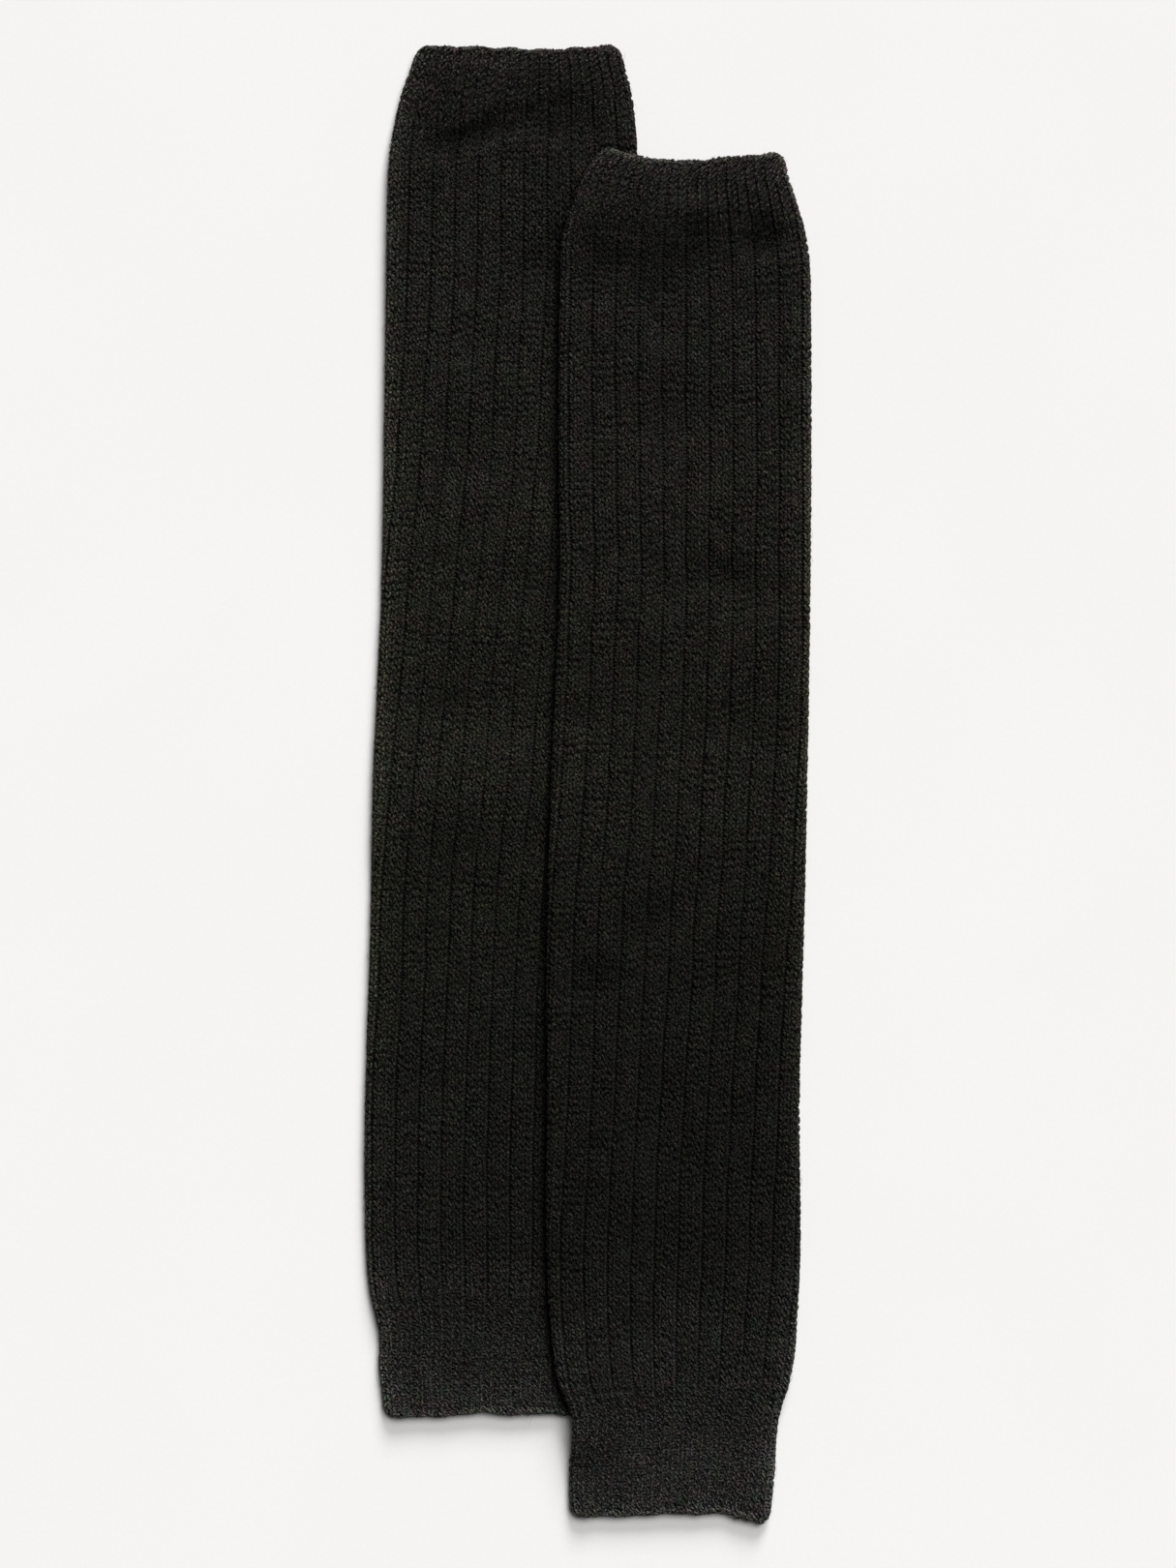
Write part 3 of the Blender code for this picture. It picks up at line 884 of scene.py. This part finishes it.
def crest_height(garment, stretch, place, down):
    """The crest's height at a place, the same for both stretches where they meet."""
    height = crest_at(stretch, place)
    from_hollow = 0.5 - np.abs(place % 1 - 0.5)
    hollow, crest = SEAM_HEIGHTS
    at_seam = SEAM_CREST * (hollow + (crest - hollow) * eased(from_hollow / SEAM_HOLLOW))
    return height + (at_seam - height) * seam_share(garment, stretch, down)


def squeeze_at(garment, down):
    """How much closer the stitches lie than where a strand's sizes are given."""
    return half_round(garment, down) / REPEATS_ON_TOP / REPEAT_WIDTH


def edge_lights(garment, arc, down):
    """How much of the painted light at the outer edges, and of that at the sides, a place has."""
    from_sides = np.stack([arc, half_round(garment, down) - arc])
    share = np.array(garment.edge_light)[:, None]
    rim = (share * np.exp(-np.maximum(from_sides - RIM_REACH, 0) / RIM_REACH)).max(axis=0)
    side = (share * np.exp(-np.maximum(from_sides, 0) / SIDE_REACH)).max(axis=0)
    return np.maximum(rim, np.exp(-from_edge(garment, down) / RIM_REACH)), side


def shade_at(garment, arc, down):
    """How much painted shade darkens a place in a deep fold, and where one garment comes down beside the
    other.
    """
    x, y, _ = section_points(garment, down, arc, 0.0).T
    shade = FOLD_SHADE * np.maximum(-relief(garment, x, y) - FOLD_SHADE_FROM, 0)
    if garment is LEFT:
        beside = np.maximum(side_at(RIGHT, "left", y) - x, 0)
        fades = (y < RIGHT.top_y) * eased((y - BESIDE_FROM) / BESIDE_FADE)
        return shade + BESIDE_SHADE * np.exp(-beside / BESIDE_REACH) * fades
    from_slope = x - side_at(LEFT, "right", y) - SLOPE_MIDDLE
    return shade + SLOPE_SHADE * np.exp(-((from_slope / SLOPE_REACH) ** 2))


def tones_with_painted_light(garment, place, down, random_tones):
    """The tones of loops, random ones with painted light at the outer edges and painted shade in a deep fold
    and where the garments meet.
    """
    arc = arc_of(garment, down, place)
    rim, side = edge_lights(garment, arc, down)
    lit = random_tones + RIM_LIGHT * rim + SIDE_LIGHT * side
    return np.maximum(lit - shade_at(garment, arc, down), DARKEST)


# How much strands differ, as the spreads of normal draws: how far off their places they lie, in
# millimetres, and their length, width and thickness, as shares. Their slant differs by millimetres
# too, and in knit loops by a share of it.
Spread = namedtuple("Spread", "aside down out slant length width thick")
KNIT_SPREAD = Spread(aside=0.06, down=0.26, out=0.06, slant=0.08, length=0.07, width=0.10, thick=0.08)
PURL_SPREAD = Spread(aside=0.10, down=0.0, out=0.10, slant=0.12, length=0.0, width=0.10, thick=0.10)
RIM_SPREAD = Spread(aside=0.0, down=0.16, out=0.10, slant=0.18, length=0.0, width=0.12, thick=0.10)

# A knit loop, one arm of a stitch's V, from its head, drawn in behind the stitch above, to its foot
# in the wale's middle: how far down it, how far from the middle in wales, how thick as a share, and
# how far sunk.
LoopRing = namedtuple("LoopRing", "down aside size sunk")
KNIT_LOOP = rows(
    LoopRing,
    (-2.00, 0.34, 0.00, 0.85),
    (-1.20, 0.36, 0.90, 0.14),
    (0.00, 0.27, 1.00, 0.00),
    (1.15, 0.11, 0.86, 0.12),
    (2.05, -0.02, 0.00, 0.80),
)
LOOP_MIDDLE = 0.30  # how far from a wale's middle the middle of its loops lies, in wales
FULLEST = 1.08  # how much wider than on the leg the loops of a wide wale are at most


def columns_of(rings):
    """A table of rings as one array for each of its columns."""
    return [np.array(column)[None, :] for column in zip(*rings)]


def knit_places(garment, stretch, draw):
    """Each loop that shows: its place, how far down it is, its side of its wale and the wale's width."""
    courses = round((stretch.end - stretch.start) / COURSE)
    course = (stretch.end - stretch.start) / courses
    wales = np.array([(rib, *wale) for rib in ribs_round(garment) for wale in stretch.stitch.wales])
    downs = stretch.start + (np.arange(courses) + 0.5) * course
    if stretch.stitch is LEG_STITCH:
        downs = np.concatenate([[stretch.start], downs, [stretch.end]])
    grid = np.meshgrid(np.arange(len(wales)), downs, (-1.0, 1.0), indexing="ij")
    which, down, side = (part.ravel() for part in grid)
    rib, middle, width, seam_middle, seam_width = wales[which].T
    near_seam = seam_share(garment, stretch, down)
    shift = draw.uniform(-WALE_SHIFT, WALE_SHIFT, len(wales))[which]
    down = down + shift * (1 - near_seam) * eased(from_edge(garment, down) / (CALM_EDGE / 2))
    place = rib + middle + (seam_middle - middle) * near_seam
    wale = width + (seam_width - width) * near_seam
    seen = shown(garment, place, down)
    return [part[seen] for part in (place, down, side, wale)]


def knit_loops(garment, stretch):
    """The two loops of every knit stitch that shows."""
    draw = draws_for(garment, stretch, 0)
    place, down, side, wale = knit_places(garment, stretch, draw)
    count, spread = len(place), KNIT_SPREAD
    squeeze = squeeze_at(garment, down)
    middles = place + side * wale * LOOP_MIDDLE
    heights = crest_height(garment, stretch, middles, down)
    ring_down, aside, size, sunk = columns_of(KNIT_LOOP)
    reach = side * wale * REPEAT_WIDTH * squeeze * draw.normal(1, spread.slant, count)
    line_aside = aside * reach[:, None] + draw.normal(0, spread.aside, count)[:, None]
    line_down = ring_down * draw.normal(1, spread.length, count)[:, None]
    line_out = (heights - YARN_REST + draw.normal(0, spread.out, count))[:, None] - sunk
    width = YARN_WIDTH / 2 * np.minimum(wale / LEG_WALES[0].width, FULLEST) * squeeze
    width = width * draw.normal(1, spread.width, count)
    # loops that lie low in a rib get painted shade
    lying_low = 1 - crest_at(stretch, middles) / stretch.stitch.rib_height
    random_tones = 0.5 + stretch.stitch.uneven * draw.uniform(-0.5, 0.5, count)
    return strands_of(
        place,
        swayed(garment, place, down) + draw.normal(0, spread.down, count),
        (line_aside, line_down, line_out),
        width=size * width[:, None],
        thick=size * (YARN_THICKNESS / 2 * draw.normal(1, spread.thick, count))[:, None],
        tone=tones_with_painted_light(garment, place, down, random_tones * (1 - HOLLOW_SHADE * lying_low)),
    )


# A purl bump across a hollow between two ribs, over its width
PURL_LOOP = rows(
    LoopRing,
    (0.10, -0.60, 0.0, 0.55),
    (-0.20, -0.25, 1.0, 0.05),
    (-0.20, 0.25, 1.0, 0.05),
    (0.10, 0.60, 0.0, 0.55),
)
PURL_WIDTH = 1.1


def purl_loops(garment, stretch):
    """The bumps in the hollows of a cuff's rib."""
    draw = draws_for(garment, stretch, 1)
    courses = round((stretch.end - stretch.start) / COURSE)
    hollows = np.array([rib + half for rib in ribs_round(garment) for half in (0.0, 0.5)])
    downs = np.linspace(stretch.start, stretch.end, 2 * courses, endpoint=False) + COURSE / 4
    place, down = (part.ravel() for part in np.meshgrid(hollows, downs, indexing="ij"))
    seen = shown(garment, place, down)
    place, down = place[seen], down[seen]
    count, spread = len(place), PURL_SPREAD
    ring_down, aside, size, sunk = columns_of(PURL_LOOP)
    reach = stretch.stitch.purls.reach * squeeze_at(garment, down)
    line_aside = aside * reach[:, None] + draw.normal(0, spread.aside, count)[:, None]
    line_down = ring_down + draw.normal(0, spread.slant, count)[:, None] * np.sign(aside)
    lowered = stretch.stitch.purls.sunk + draw.normal(0, spread.out, count)
    line_out = (crest_height(garment, stretch, place, down) - lowered)[:, None] - sunk
    return strands_of(
        place,
        down,
        (line_aside, line_down, line_out),
        width=size * (PURL_WIDTH / 2 * draw.normal(1, spread.width, count))[:, None],
        thick=size * (PURL_WIDTH / 2 * draw.normal(1, spread.thick, count))[:, None],
        tone=tones_with_painted_light(garment, place, down, draw.uniform(0, stretch.stitch.purls.lightest, count)),
    )


# A loop of a free edge, from the outer face over the edge to the inside: how far in from the edge,
# how thick as a share, and how far in from the crest.
RimRing = namedtuple("RimRing", "inward size sunk")
RIM_LOOP = rows(
    RimRing,
    (2.20, 0.0, 0.70),
    (1.30, 0.9, 0.15),
    (0.30, 1.0, 0.10),
    (-0.40, 1.0, 0.80),
    (-0.10, 1.0, 1.70),
    (0.90, 0.0, 2.30),
)
RIM_WIDTH = 1.9
RIM_THICKNESS = 1.0
UNDER_RIM = -0.45  # how far in an edge's loops lie where they are under the garment
RIM_TONE = 0.8  # the share of the painted light at the edges that its loops have


def rim_loops(garment, stretch):
    """The loops over the stretch's free edge, all round it."""
    at_start = stretch.start == 0
    draw = draws_for(garment, stretch, 2)
    place = np.arange(0.0, REPEATS - RIM_PITCH / 2, RIM_PITCH)
    count, spread = len(place), RIM_SPREAD
    edge, way = (stretch.start, 1.0) if at_start else (stretch.end, -1.0)
    down = np.full(count, edge)
    arc = arc_of(garment, down, place) % (2 * half_round(garment, down))
    above = arc < half_round(garment, down)
    crest = np.where(above, crest_at(stretch, place), UNDER_RIM)
    inward, size, sunk = columns_of(RIM_LOOP)
    skew = draw.normal(0, spread.slant, count)[:, None] * inward
    line_out = (crest + draw.normal(0, spread.out, count))[:, None] - sunk
    line_down = way * (inward + draw.normal(0, spread.down, count)[:, None])
    squeeze = squeeze_at(garment, down)
    return strands_of(
        place,
        down,
        (skew, line_down, line_out),
        width=size * (RIM_WIDTH / 2 * squeeze * draw.normal(1, spread.width, count))[:, None],
        thick=size * (RIM_THICKNESS / 2 * draw.normal(1, spread.thick, count))[:, None],
        tone=draw.uniform(0, 1, count) + RIM_LIGHT * RIM_TONE,
        flat=np.full((count, len(RIM_LOOP), 3), (way, 0.0, 0.0)),
    )


# A loose fibre: how far each of its rings is along it, and how thick, as shares, and how it rises
FIBRE_STEPS = np.array([[0.0, 0.33, 0.67, 1.0]])
FIBRE_SIZES = np.array([[0.0, 1.0, 0.85, 0.0]])
FIBRE_RISES = FIBRE_STEPS * (1.6 - FIBRE_STEPS)
FIBRE_LIFTS = (0.05, 0.55)
FIBRE_LENGTHS = 0.45  # how much they differ in length
FIBRE_BEND = 1.0
FIBRE_RADII = (0.7, 1.3)


def loose_fibres(garment, stretch):
    """Fibres that stand off the yarn, strewn over what shows."""
    draw = draws_for(garment, stretch, 3)
    across = float(half_round(garment, np.array((stretch.start + stretch.end) / 2)))
    count = round((stretch.end - stretch.start) * across * FUZZ_PER_AREA)
    down = draw.uniform(stretch.start, stretch.end, count)
    place = draw.uniform(-STRANDS_TO, REPEATS_ON_TOP + STRANDS_TO, count) - lie_at(garment, "turn", down)
    length = FUZZ_LENGTH * draw.lognormal(0, FIBRE_LENGTHS, count)
    heading, bend = draw.uniform(0, 2 * math.pi, count), draw.normal(0, FIBRE_BEND, count)
    lift = draw.uniform(*FIBRE_LIFTS, count)
    seen = shown(garment, place, down)
    place, down = place[seen], down[seen]
    length, heading, bend, lift = (part[seen][:, None] for part in (length, heading, bend, lift))
    headings = heading + bend * FIBRE_STEPS
    line_aside = length * FIBRE_STEPS * np.cos(headings)
    line_down = length * FIBRE_STEPS * np.sin(headings)
    line_out = crest_at(stretch, place)[:, None] + length * lift * FIBRE_RISES
    radius = FIBRE_SIZES * FUZZ_RADIUS * draw.uniform(*FIBRE_RADII, len(place))[:, None]
    tone = tones_with_painted_light(garment, place, down, draw.uniform(0, 1, len(place)))
    return strands_of(place, down, (line_aside, line_down, line_out), radius, radius, tone)


# ---- materials ----


def linked(tree, kind, inputs=(), **settings):
    """A new node, with its inputs set or linked and its settings made."""
    node = tree.nodes.new(kind)
    for name, value in settings.items():
        setattr(node, name, value)
    for socket, value in dict(inputs).items():
        if isinstance(value, bpy.types.NodeSocket):
            tree.links.new(value, node.inputs[socket])
        else:
            node.inputs[socket].default_value = value
    return node


def scaled(tree, value, low, high, to_low, to_high):
    """The value, from the first range to the second, and no further."""
    inputs = {"Value": value, "From Min": low, "From Max": high, "To Min": to_low, "To Max": to_high}
    return linked(tree, "ShaderNodeMapRange", inputs).outputs["Result"]


def noise(tree, place, pitch, detail=2.0, output="Fac"):
    """Noise with patches of about the given size in millimetres."""
    inputs = {"Vector": place, "Scale": 1 / (pitch * MM), "Detail": detail}
    return linked(tree, "ShaderNodeTexNoise", inputs).outputs[output]


def noise_shade(tree, pattern, shades, reach=0.2):
    """The brightness that noise gives: the darkest shade at this far below a half, the lightest above."""
    return scaled(tree, pattern, 0.5 - reach, 0.5 + reach, *shades)


def worked(tree, operation, *values):
    """The result of one sum on values."""
    return linked(tree, "ShaderNodeMath", dict(enumerate(values)), operation=operation).outputs[0]


def mixed(tree, operation, *values):
    """The result of one sum on colours."""
    node = linked(tree, "ShaderNodeVectorMath", dict(enumerate(values)), operation=operation)
    return node.outputs["Value" if operation == "DOT_PRODUCT" else "Vector"]


def brightened(tree, colour, brightness):
    """A colour, made lighter or darker."""
    inputs = {0: colour, "Scale": brightness}
    return linked(tree, "ShaderNodeVectorMath", inputs, operation="SCALE").outputs["Vector"]


def map_axes(tree, name):
    """The two axes of one of the mesh's maps."""
    place = linked(tree, "ShaderNodeUVMap", uv_map=name).outputs["UV"]
    axes = linked(tree, "ShaderNodeSeparateXYZ", {"Vector": place}).outputs
    return axes["X"], axes["Y"]


DYE = (0.0145, 0.0141, 0.0110)  # the yarn's black
TINT = (0.72, 0.72, 0.48)  # how far its patches are redder, greener or bluer
TINT_PATCH, TINT_DETAIL = 6.0, 2.5  # how large they are, and in how many finer sizes
LIGHTNESS = (0.3, 0.59, 0.11)  # how much of a colour's lightness each part of it gives


def along_ramp(tree, place, shades, colours):
    """A colour for each of the shades' heights, and smoothly changing ones between them."""
    along = linked(tree, "ShaderNodeSeparateXYZ", {0: place}).outputs["Y"]
    first, last = shades[0].height, shades[-1].height
    ramp = linked(tree, "ShaderNodeValToRGB", {"Fac": scaled(tree, along, first * MM, last * MM, 0.0, 1.0)})
    ramp.color_ramp.interpolation = "EASE"
    stops = ramp.color_ramp.elements
    while len(stops) < len(shades):
        stops.new(0.5)
    for stop, shade, colour in zip(stops, shades, colours):
        stop.position = (shade.height - first) / (last - first)
        stop.color = (*colour, 1)
    return ramp.outputs["Color"]


def dyed_with_painted_light(tree, place, shades, brightness):
    """The yarn's black with its faint patches of other tints, times the shades along the length and a
    brightness, which carry painted light and shade.
    """
    most = max(shade.brightness * shade.blue for shade in shades)
    colours = [
        [shade.brightness * part / most for part in (shade.red, 1.0, shade.blue)] for shade in shades
    ]
    patches = noise(tree, place, TINT_PATCH, TINT_DETAIL, "Color")
    tint = mixed(tree, "MULTIPLY_ADD", patches, TINT, [1 - part / 2 for part in TINT])
    brightness = worked(tree, "DIVIDE", brightness, mixed(tree, "DOT_PRODUCT", tint, LIGHTNESS))
    tint = mixed(tree, "MULTIPLY", tint, [part * most for part in DYE])
    tint = mixed(tree, "MULTIPLY", tint, along_ramp(tree, place, shades, colours))
    return brightened(tree, tint, brightness)


def new_material(name):
    """A material, its nodes, its shader and the place that its patterns go by."""
    material = bpy.data.materials.new(name)
    material.use_nodes = True
    tree = material.node_tree
    place = linked(tree, "ShaderNodeTexCoord").outputs["Object"]
    return material, tree, tree.nodes["Principled BSDF"], place


def finished(tree, shader, colour, height=None, depth=0.0):
    """Soft matt yarn: no gloss, a little light along its fibres' edges, and a height pressed into it."""
    tree.links.new(colour, shader.inputs["Base Color"])
    shader.inputs["Roughness"].default_value = 0.85
    shader.inputs["Specular IOR Level"].default_value = 0.036
    shader.inputs["Sheen Weight"].default_value = 0.040
    shader.inputs["Sheen Roughness"].default_value = 0.35
    if height is not None:
        bump = linked(tree, "ShaderNodeBump", {"Height": height, "Distance": depth * MM, "Strength": 1.0})
        tree.links.new(bump.outputs["Normal"], shader.inputs["Normal"])


# Each pattern of the yarn: how large it is, in millimetres or in turns along a strand, and how dark
# and how light it makes it
TWIST, PLY_SHADES = 3.0, (0.56, 1.44)
# the fibres' lightest specks are painted glints, the rest random lightness
FIBRE_PITCH, FIBRE_SHADES = 0.72, (0.03, 2.07)
FIBRE_REACH = 0.095  # how little its noise has to differ for them
PATCH_PITCH, PATCH_SHADES = 17.0, (0.87, 1.13)
TONE_SHADES = (0.164, 2.90)
PLY_START = 7.0  # turns by which a loop's plies start further on, for each whole tone
PLY_HEIGHT = 0.35  # beside the fibres'
YARN_DEPTH = 0.25


def yarn_material(name, shades):
    """Twisted matt black yarn, lighter and darker from loop to loop and from fibre to fibre, at random and
    with the painted light and shade that the tones carry.
    """
    material, tree, shader, place = new_material(name)
    tone = linked(tree, "ShaderNodeAttribute", attribute_name="tone").outputs["Fac"]
    way_round, along = map_axes(tree, "Yarn")
    turns = worked(tree, "MULTIPLY_ADD", along, TWIST, way_round)
    turns = worked(tree, "MULTIPLY_ADD", tone, PLY_START, turns)
    plies = worked(tree, "SINE", worked(tree, "MULTIPLY", turns, 2 * math.pi))
    fibres = noise(tree, place, FIBRE_PITCH)
    brightness = scaled(tree, tone, DARKEST, LIGHTEST, *TONE_SHADES)
    for factor in (
        scaled(tree, plies, -1.0, 1.0, *PLY_SHADES),
        noise_shade(tree, fibres, FIBRE_SHADES, FIBRE_REACH),
        noise_shade(tree, noise(tree, place, PATCH_PITCH), PATCH_SHADES),
    ):
        brightness = worked(tree, "MULTIPLY", brightness, factor)
    height = worked(tree, "MULTIPLY_ADD", plies, PLY_HEIGHT, fibres)
    finished(tree, shader, dyed_with_painted_light(tree, place, shades, brightness), height, YARN_DEPTH)
    return material


ARM_SLANT = 0.78  # how far down a drawn stitch's arms run over half a wale, in courses


def knit_pattern(tree, purl_every):
    """The height of drawn stitches, Vs in the knit wales and bumps in the purl ones, and what is knit."""
    wale, course = map_axes(tree, "Knit")
    from_middle = worked(tree, "PINGPONG", wale, 0.5)
    slanted = worked(tree, "MULTIPLY_ADD", from_middle, 2 * ARM_SLANT, course)
    knit = worked(tree, "SINE", worked(tree, "MULTIPLY", slanted, 2 * math.pi))
    purl = worked(tree, "SINE", worked(tree, "MULTIPLY", course, 4 * math.pi))
    from_purl = worked(tree, "PINGPONG", wale, purl_every / 2)
    is_knit = worked(tree, "GREATER_THAN", from_purl, 0.5)
    knit = worked(tree, "MULTIPLY", knit, is_knit)
    purl = worked(tree, "MULTIPLY", purl, worked(tree, "SUBTRACT", 1.0, is_knit))
    return worked(tree, "ADD", knit, purl), is_knit


# The fabric under the strands: the sizes of its patterns, and how dark and how light they make it
GROUND_FIBRE_PITCH, GROUND_FIBRE_SHADES, GROUND_FIBRE_REACH = 0.55, (0.3, 1.7), 0.16
PURL_PITCH, PURL_SHADES, PURL_REACH = 11.0, (0.45, 1.5), 0.15  # painted shade in the hollows between the ribs, stronger in some places than in others
# the drawn stitches are darker where they lie low: painted shade
STITCH_SHADES = (0.35, 1.0)
GROUND_FIBRE_HEIGHT = 0.5  # beside the stitches'
GROUND_DEPTH = 0.4


def ground_material(name, shades, purl_every):
    """The fabric where no strands lie over it: the hollows, the underside and the inside."""
    material, tree, shader, place = new_material(name)
    pattern, is_knit = knit_pattern(tree, purl_every)
    fibres = noise(tree, place, GROUND_FIBRE_PITCH)
    brightness = scaled(tree, pattern, -1.0, 1.0, *STITCH_SHADES)
    fibre_shade = noise_shade(tree, fibres, GROUND_FIBRE_SHADES, GROUND_FIBRE_REACH)
    brightness = worked(tree, "MULTIPLY", brightness, fibre_shade)
    purl_shade = noise_shade(tree, noise(tree, place, PURL_PITCH), PURL_SHADES, PURL_REACH)
    brightness = worked(tree, "MULTIPLY", brightness, worked(tree, "MAXIMUM", is_knit, purl_shade))
    height = worked(tree, "MULTIPLY_ADD", fibres, GROUND_FIBRE_HEIGHT, pattern)
    finished(tree, shader, dyed_with_painted_light(tree, place, shades, brightness), height, GROUND_DEPTH)
    return material


LOOSE_TONES, LOOSE_SHADES = (-0.25, 1.5), (0.2, 4.6)  # of the darkest and the lightest loose fibres, whose lightness is painted glints and sheen


def fibre_material(name, shades):
    """Loose fibres, painted lighter than the yarn for the glints and sheen that they catch."""
    material, tree, shader, place = new_material(name)
    tone = linked(tree, "ShaderNodeAttribute", attribute_name="tone").outputs["Fac"]
    brightness = scaled(tree, tone, *LOOSE_TONES, *LOOSE_SHADES)
    finished(tree, shader, dyed_with_painted_light(tree, place, shades, brightness))
    return material


# ---- the surroundings ----

FRAME_HEIGHT = 0.648  # the length of floor that the frame takes in
LENS, SENSOR = 100.0, 36.0
EYE = (0.0002, 0.0, 0.006)  # the point that the camera looks straight down on
FLOOR_REACH = 6.0
FLOOR_COLOUR = (0.888, 0.880, 0.863)
GRAIN_PITCH, GRAIN_SHADES = 1.4, (0.99, 1.01)
MOTTLE_PITCH, MOTTLE_SHADES = 120.0, (0.994, 1.006)
ROOM_LIGHT = 0.075

# Soft lamps: where each shines from, its strength and how wide it looks, in degrees
Lamp = namedtuple("Lamp", "name towards strength angle")
LAMPS = (
    Lamp(name="high", towards=(0.35, 0.45, 1.0), strength=1.95, angle=34),
    Lamp(name="low", towards=(0.45, 2.0, 1.0), strength=3.0, angle=24),
)


def build_floor():
    """A plain pale floor, very faintly mottled."""
    mesh = bpy.data.meshes.new("floor")
    ways = ((-1, -1), (1, -1), (1, 1), (-1, 1))
    mesh.from_pydata([(x * FLOOR_REACH, y * FLOOR_REACH, 0) for x, y in ways], [], [(0, 1, 2, 3)])
    floor = placed("floor", mesh)
    material, tree, shader, place = new_material("floor")
    grain = noise_shade(tree, noise(tree, place, GRAIN_PITCH), GRAIN_SHADES)
    mottle = noise_shade(tree, noise(tree, place, MOTTLE_PITCH), MOTTLE_SHADES)
    colour = brightened(tree, FLOOR_COLOUR, worked(tree, "MULTIPLY", grain, mottle))
    tree.links.new(colour, shader.inputs["Base Color"])
    shader.inputs["Roughness"].default_value = 0.9
    shader.inputs["Specular IOR Level"].default_value = 0.0
    mesh.materials.append(material)


def build_camera():
    """The camera, straight above."""
    camera = bpy.data.cameras.new("camera")
    camera.lens, camera.sensor_width = LENS, SENSOR
    camera.clip_start, camera.clip_end = 0.05, 20
    eye = placed("camera", camera)
    eye.location = (EYE[0], EYE[1], EYE[2] + FRAME_HEIGHT * LENS / SENSOR)
    bpy.context.scene.camera = eye


def build_lights():
    """The lamps and the light of a pale room."""
    for name, towards, strength, angle in LAMPS:
        lamp = bpy.data.lights.new(name, "SUN")
        lamp.energy = strength
        lamp.angle = math.radians(angle)
        holder = placed(name, lamp)
        holder.rotation_mode = "QUATERNION"
        holder.rotation_quaternion = Vector(towards).to_track_quat("Z", "Y")
    world = bpy.data.worlds.new("room")
    world.use_nodes = True
    back = world.node_tree.nodes["Background"]
    back.inputs["Color"].default_value = (1, 1, 1, 1)
    back.inputs["Strength"].default_value = ROOM_LIGHT
    bpy.context.scene.world = world
    bpy.context.scene.view_settings.view_transform = "Standard"


# ---- putting it together ----


def yarn_pieces(garment, stretch, yarn, fibre):
    """The strands over one stretch's tube: its loops, and its fuzz."""
    loops = knit_loops(garment, stretch)
    order = np.argsort(loops.down, kind="stable")
    parts = np.array_split(order, 1 + len(order) // MOST_LOOPS)
    names = ["loops"] if len(parts) == 1 else [f"loops_{k + 1}" for k in range(len(parts))]
    made = [(name, picked(loops, part), YARN_SIDES, yarn) for name, part in zip(names, parts)]
    if stretch.stitch.purls:
        made.append(("purls", purl_loops(garment, stretch), YARN_SIDES, yarn))
        made.append(("rim", rim_loops(garment, stretch), YARN_SIDES, yarn))
    made.append(("fuzz", loose_fibres(garment, stretch), FIBRE_SIDES, fibre))
    return [build_strands(f"{stretch.node}_{name}", garment, *rest) for name, *rest in made]


def dress(garment, stretch):
    """Everything of one stretch: the tube, the yarn over it and its fibres."""
    purl_every = WALES_IN_REPEAT if stretch.stitch is LEG_STITCH else WALES_IN_REPEAT // 2
    ground = ground_material(stretch.node + "_ground", garment.shades, purl_every)
    yarn = yarn_material(stretch.node + "_yarn", garment.shades)
    fibre = fibre_material(stretch.node + "_fibre", garment.shades)
    tube = build_tube(garment, stretch, ground)
    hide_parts(stretch.node)
    pieces = yarn_pieces(garment, stretch, yarn, fibre)
    for piece in (tube, *pieces):
        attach(piece, "root")
    round_it = 2 * float(half_round(garment, np.array((stretch.start + stretch.end) / 2))) * MM


def main():
    """The whole scene."""
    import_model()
    build_floor()
    build_camera()
    build_lights()
    for garment in (LEFT, RIGHT):
        for stretch in garment.stretches:
            dress(garment, stretch)


main()
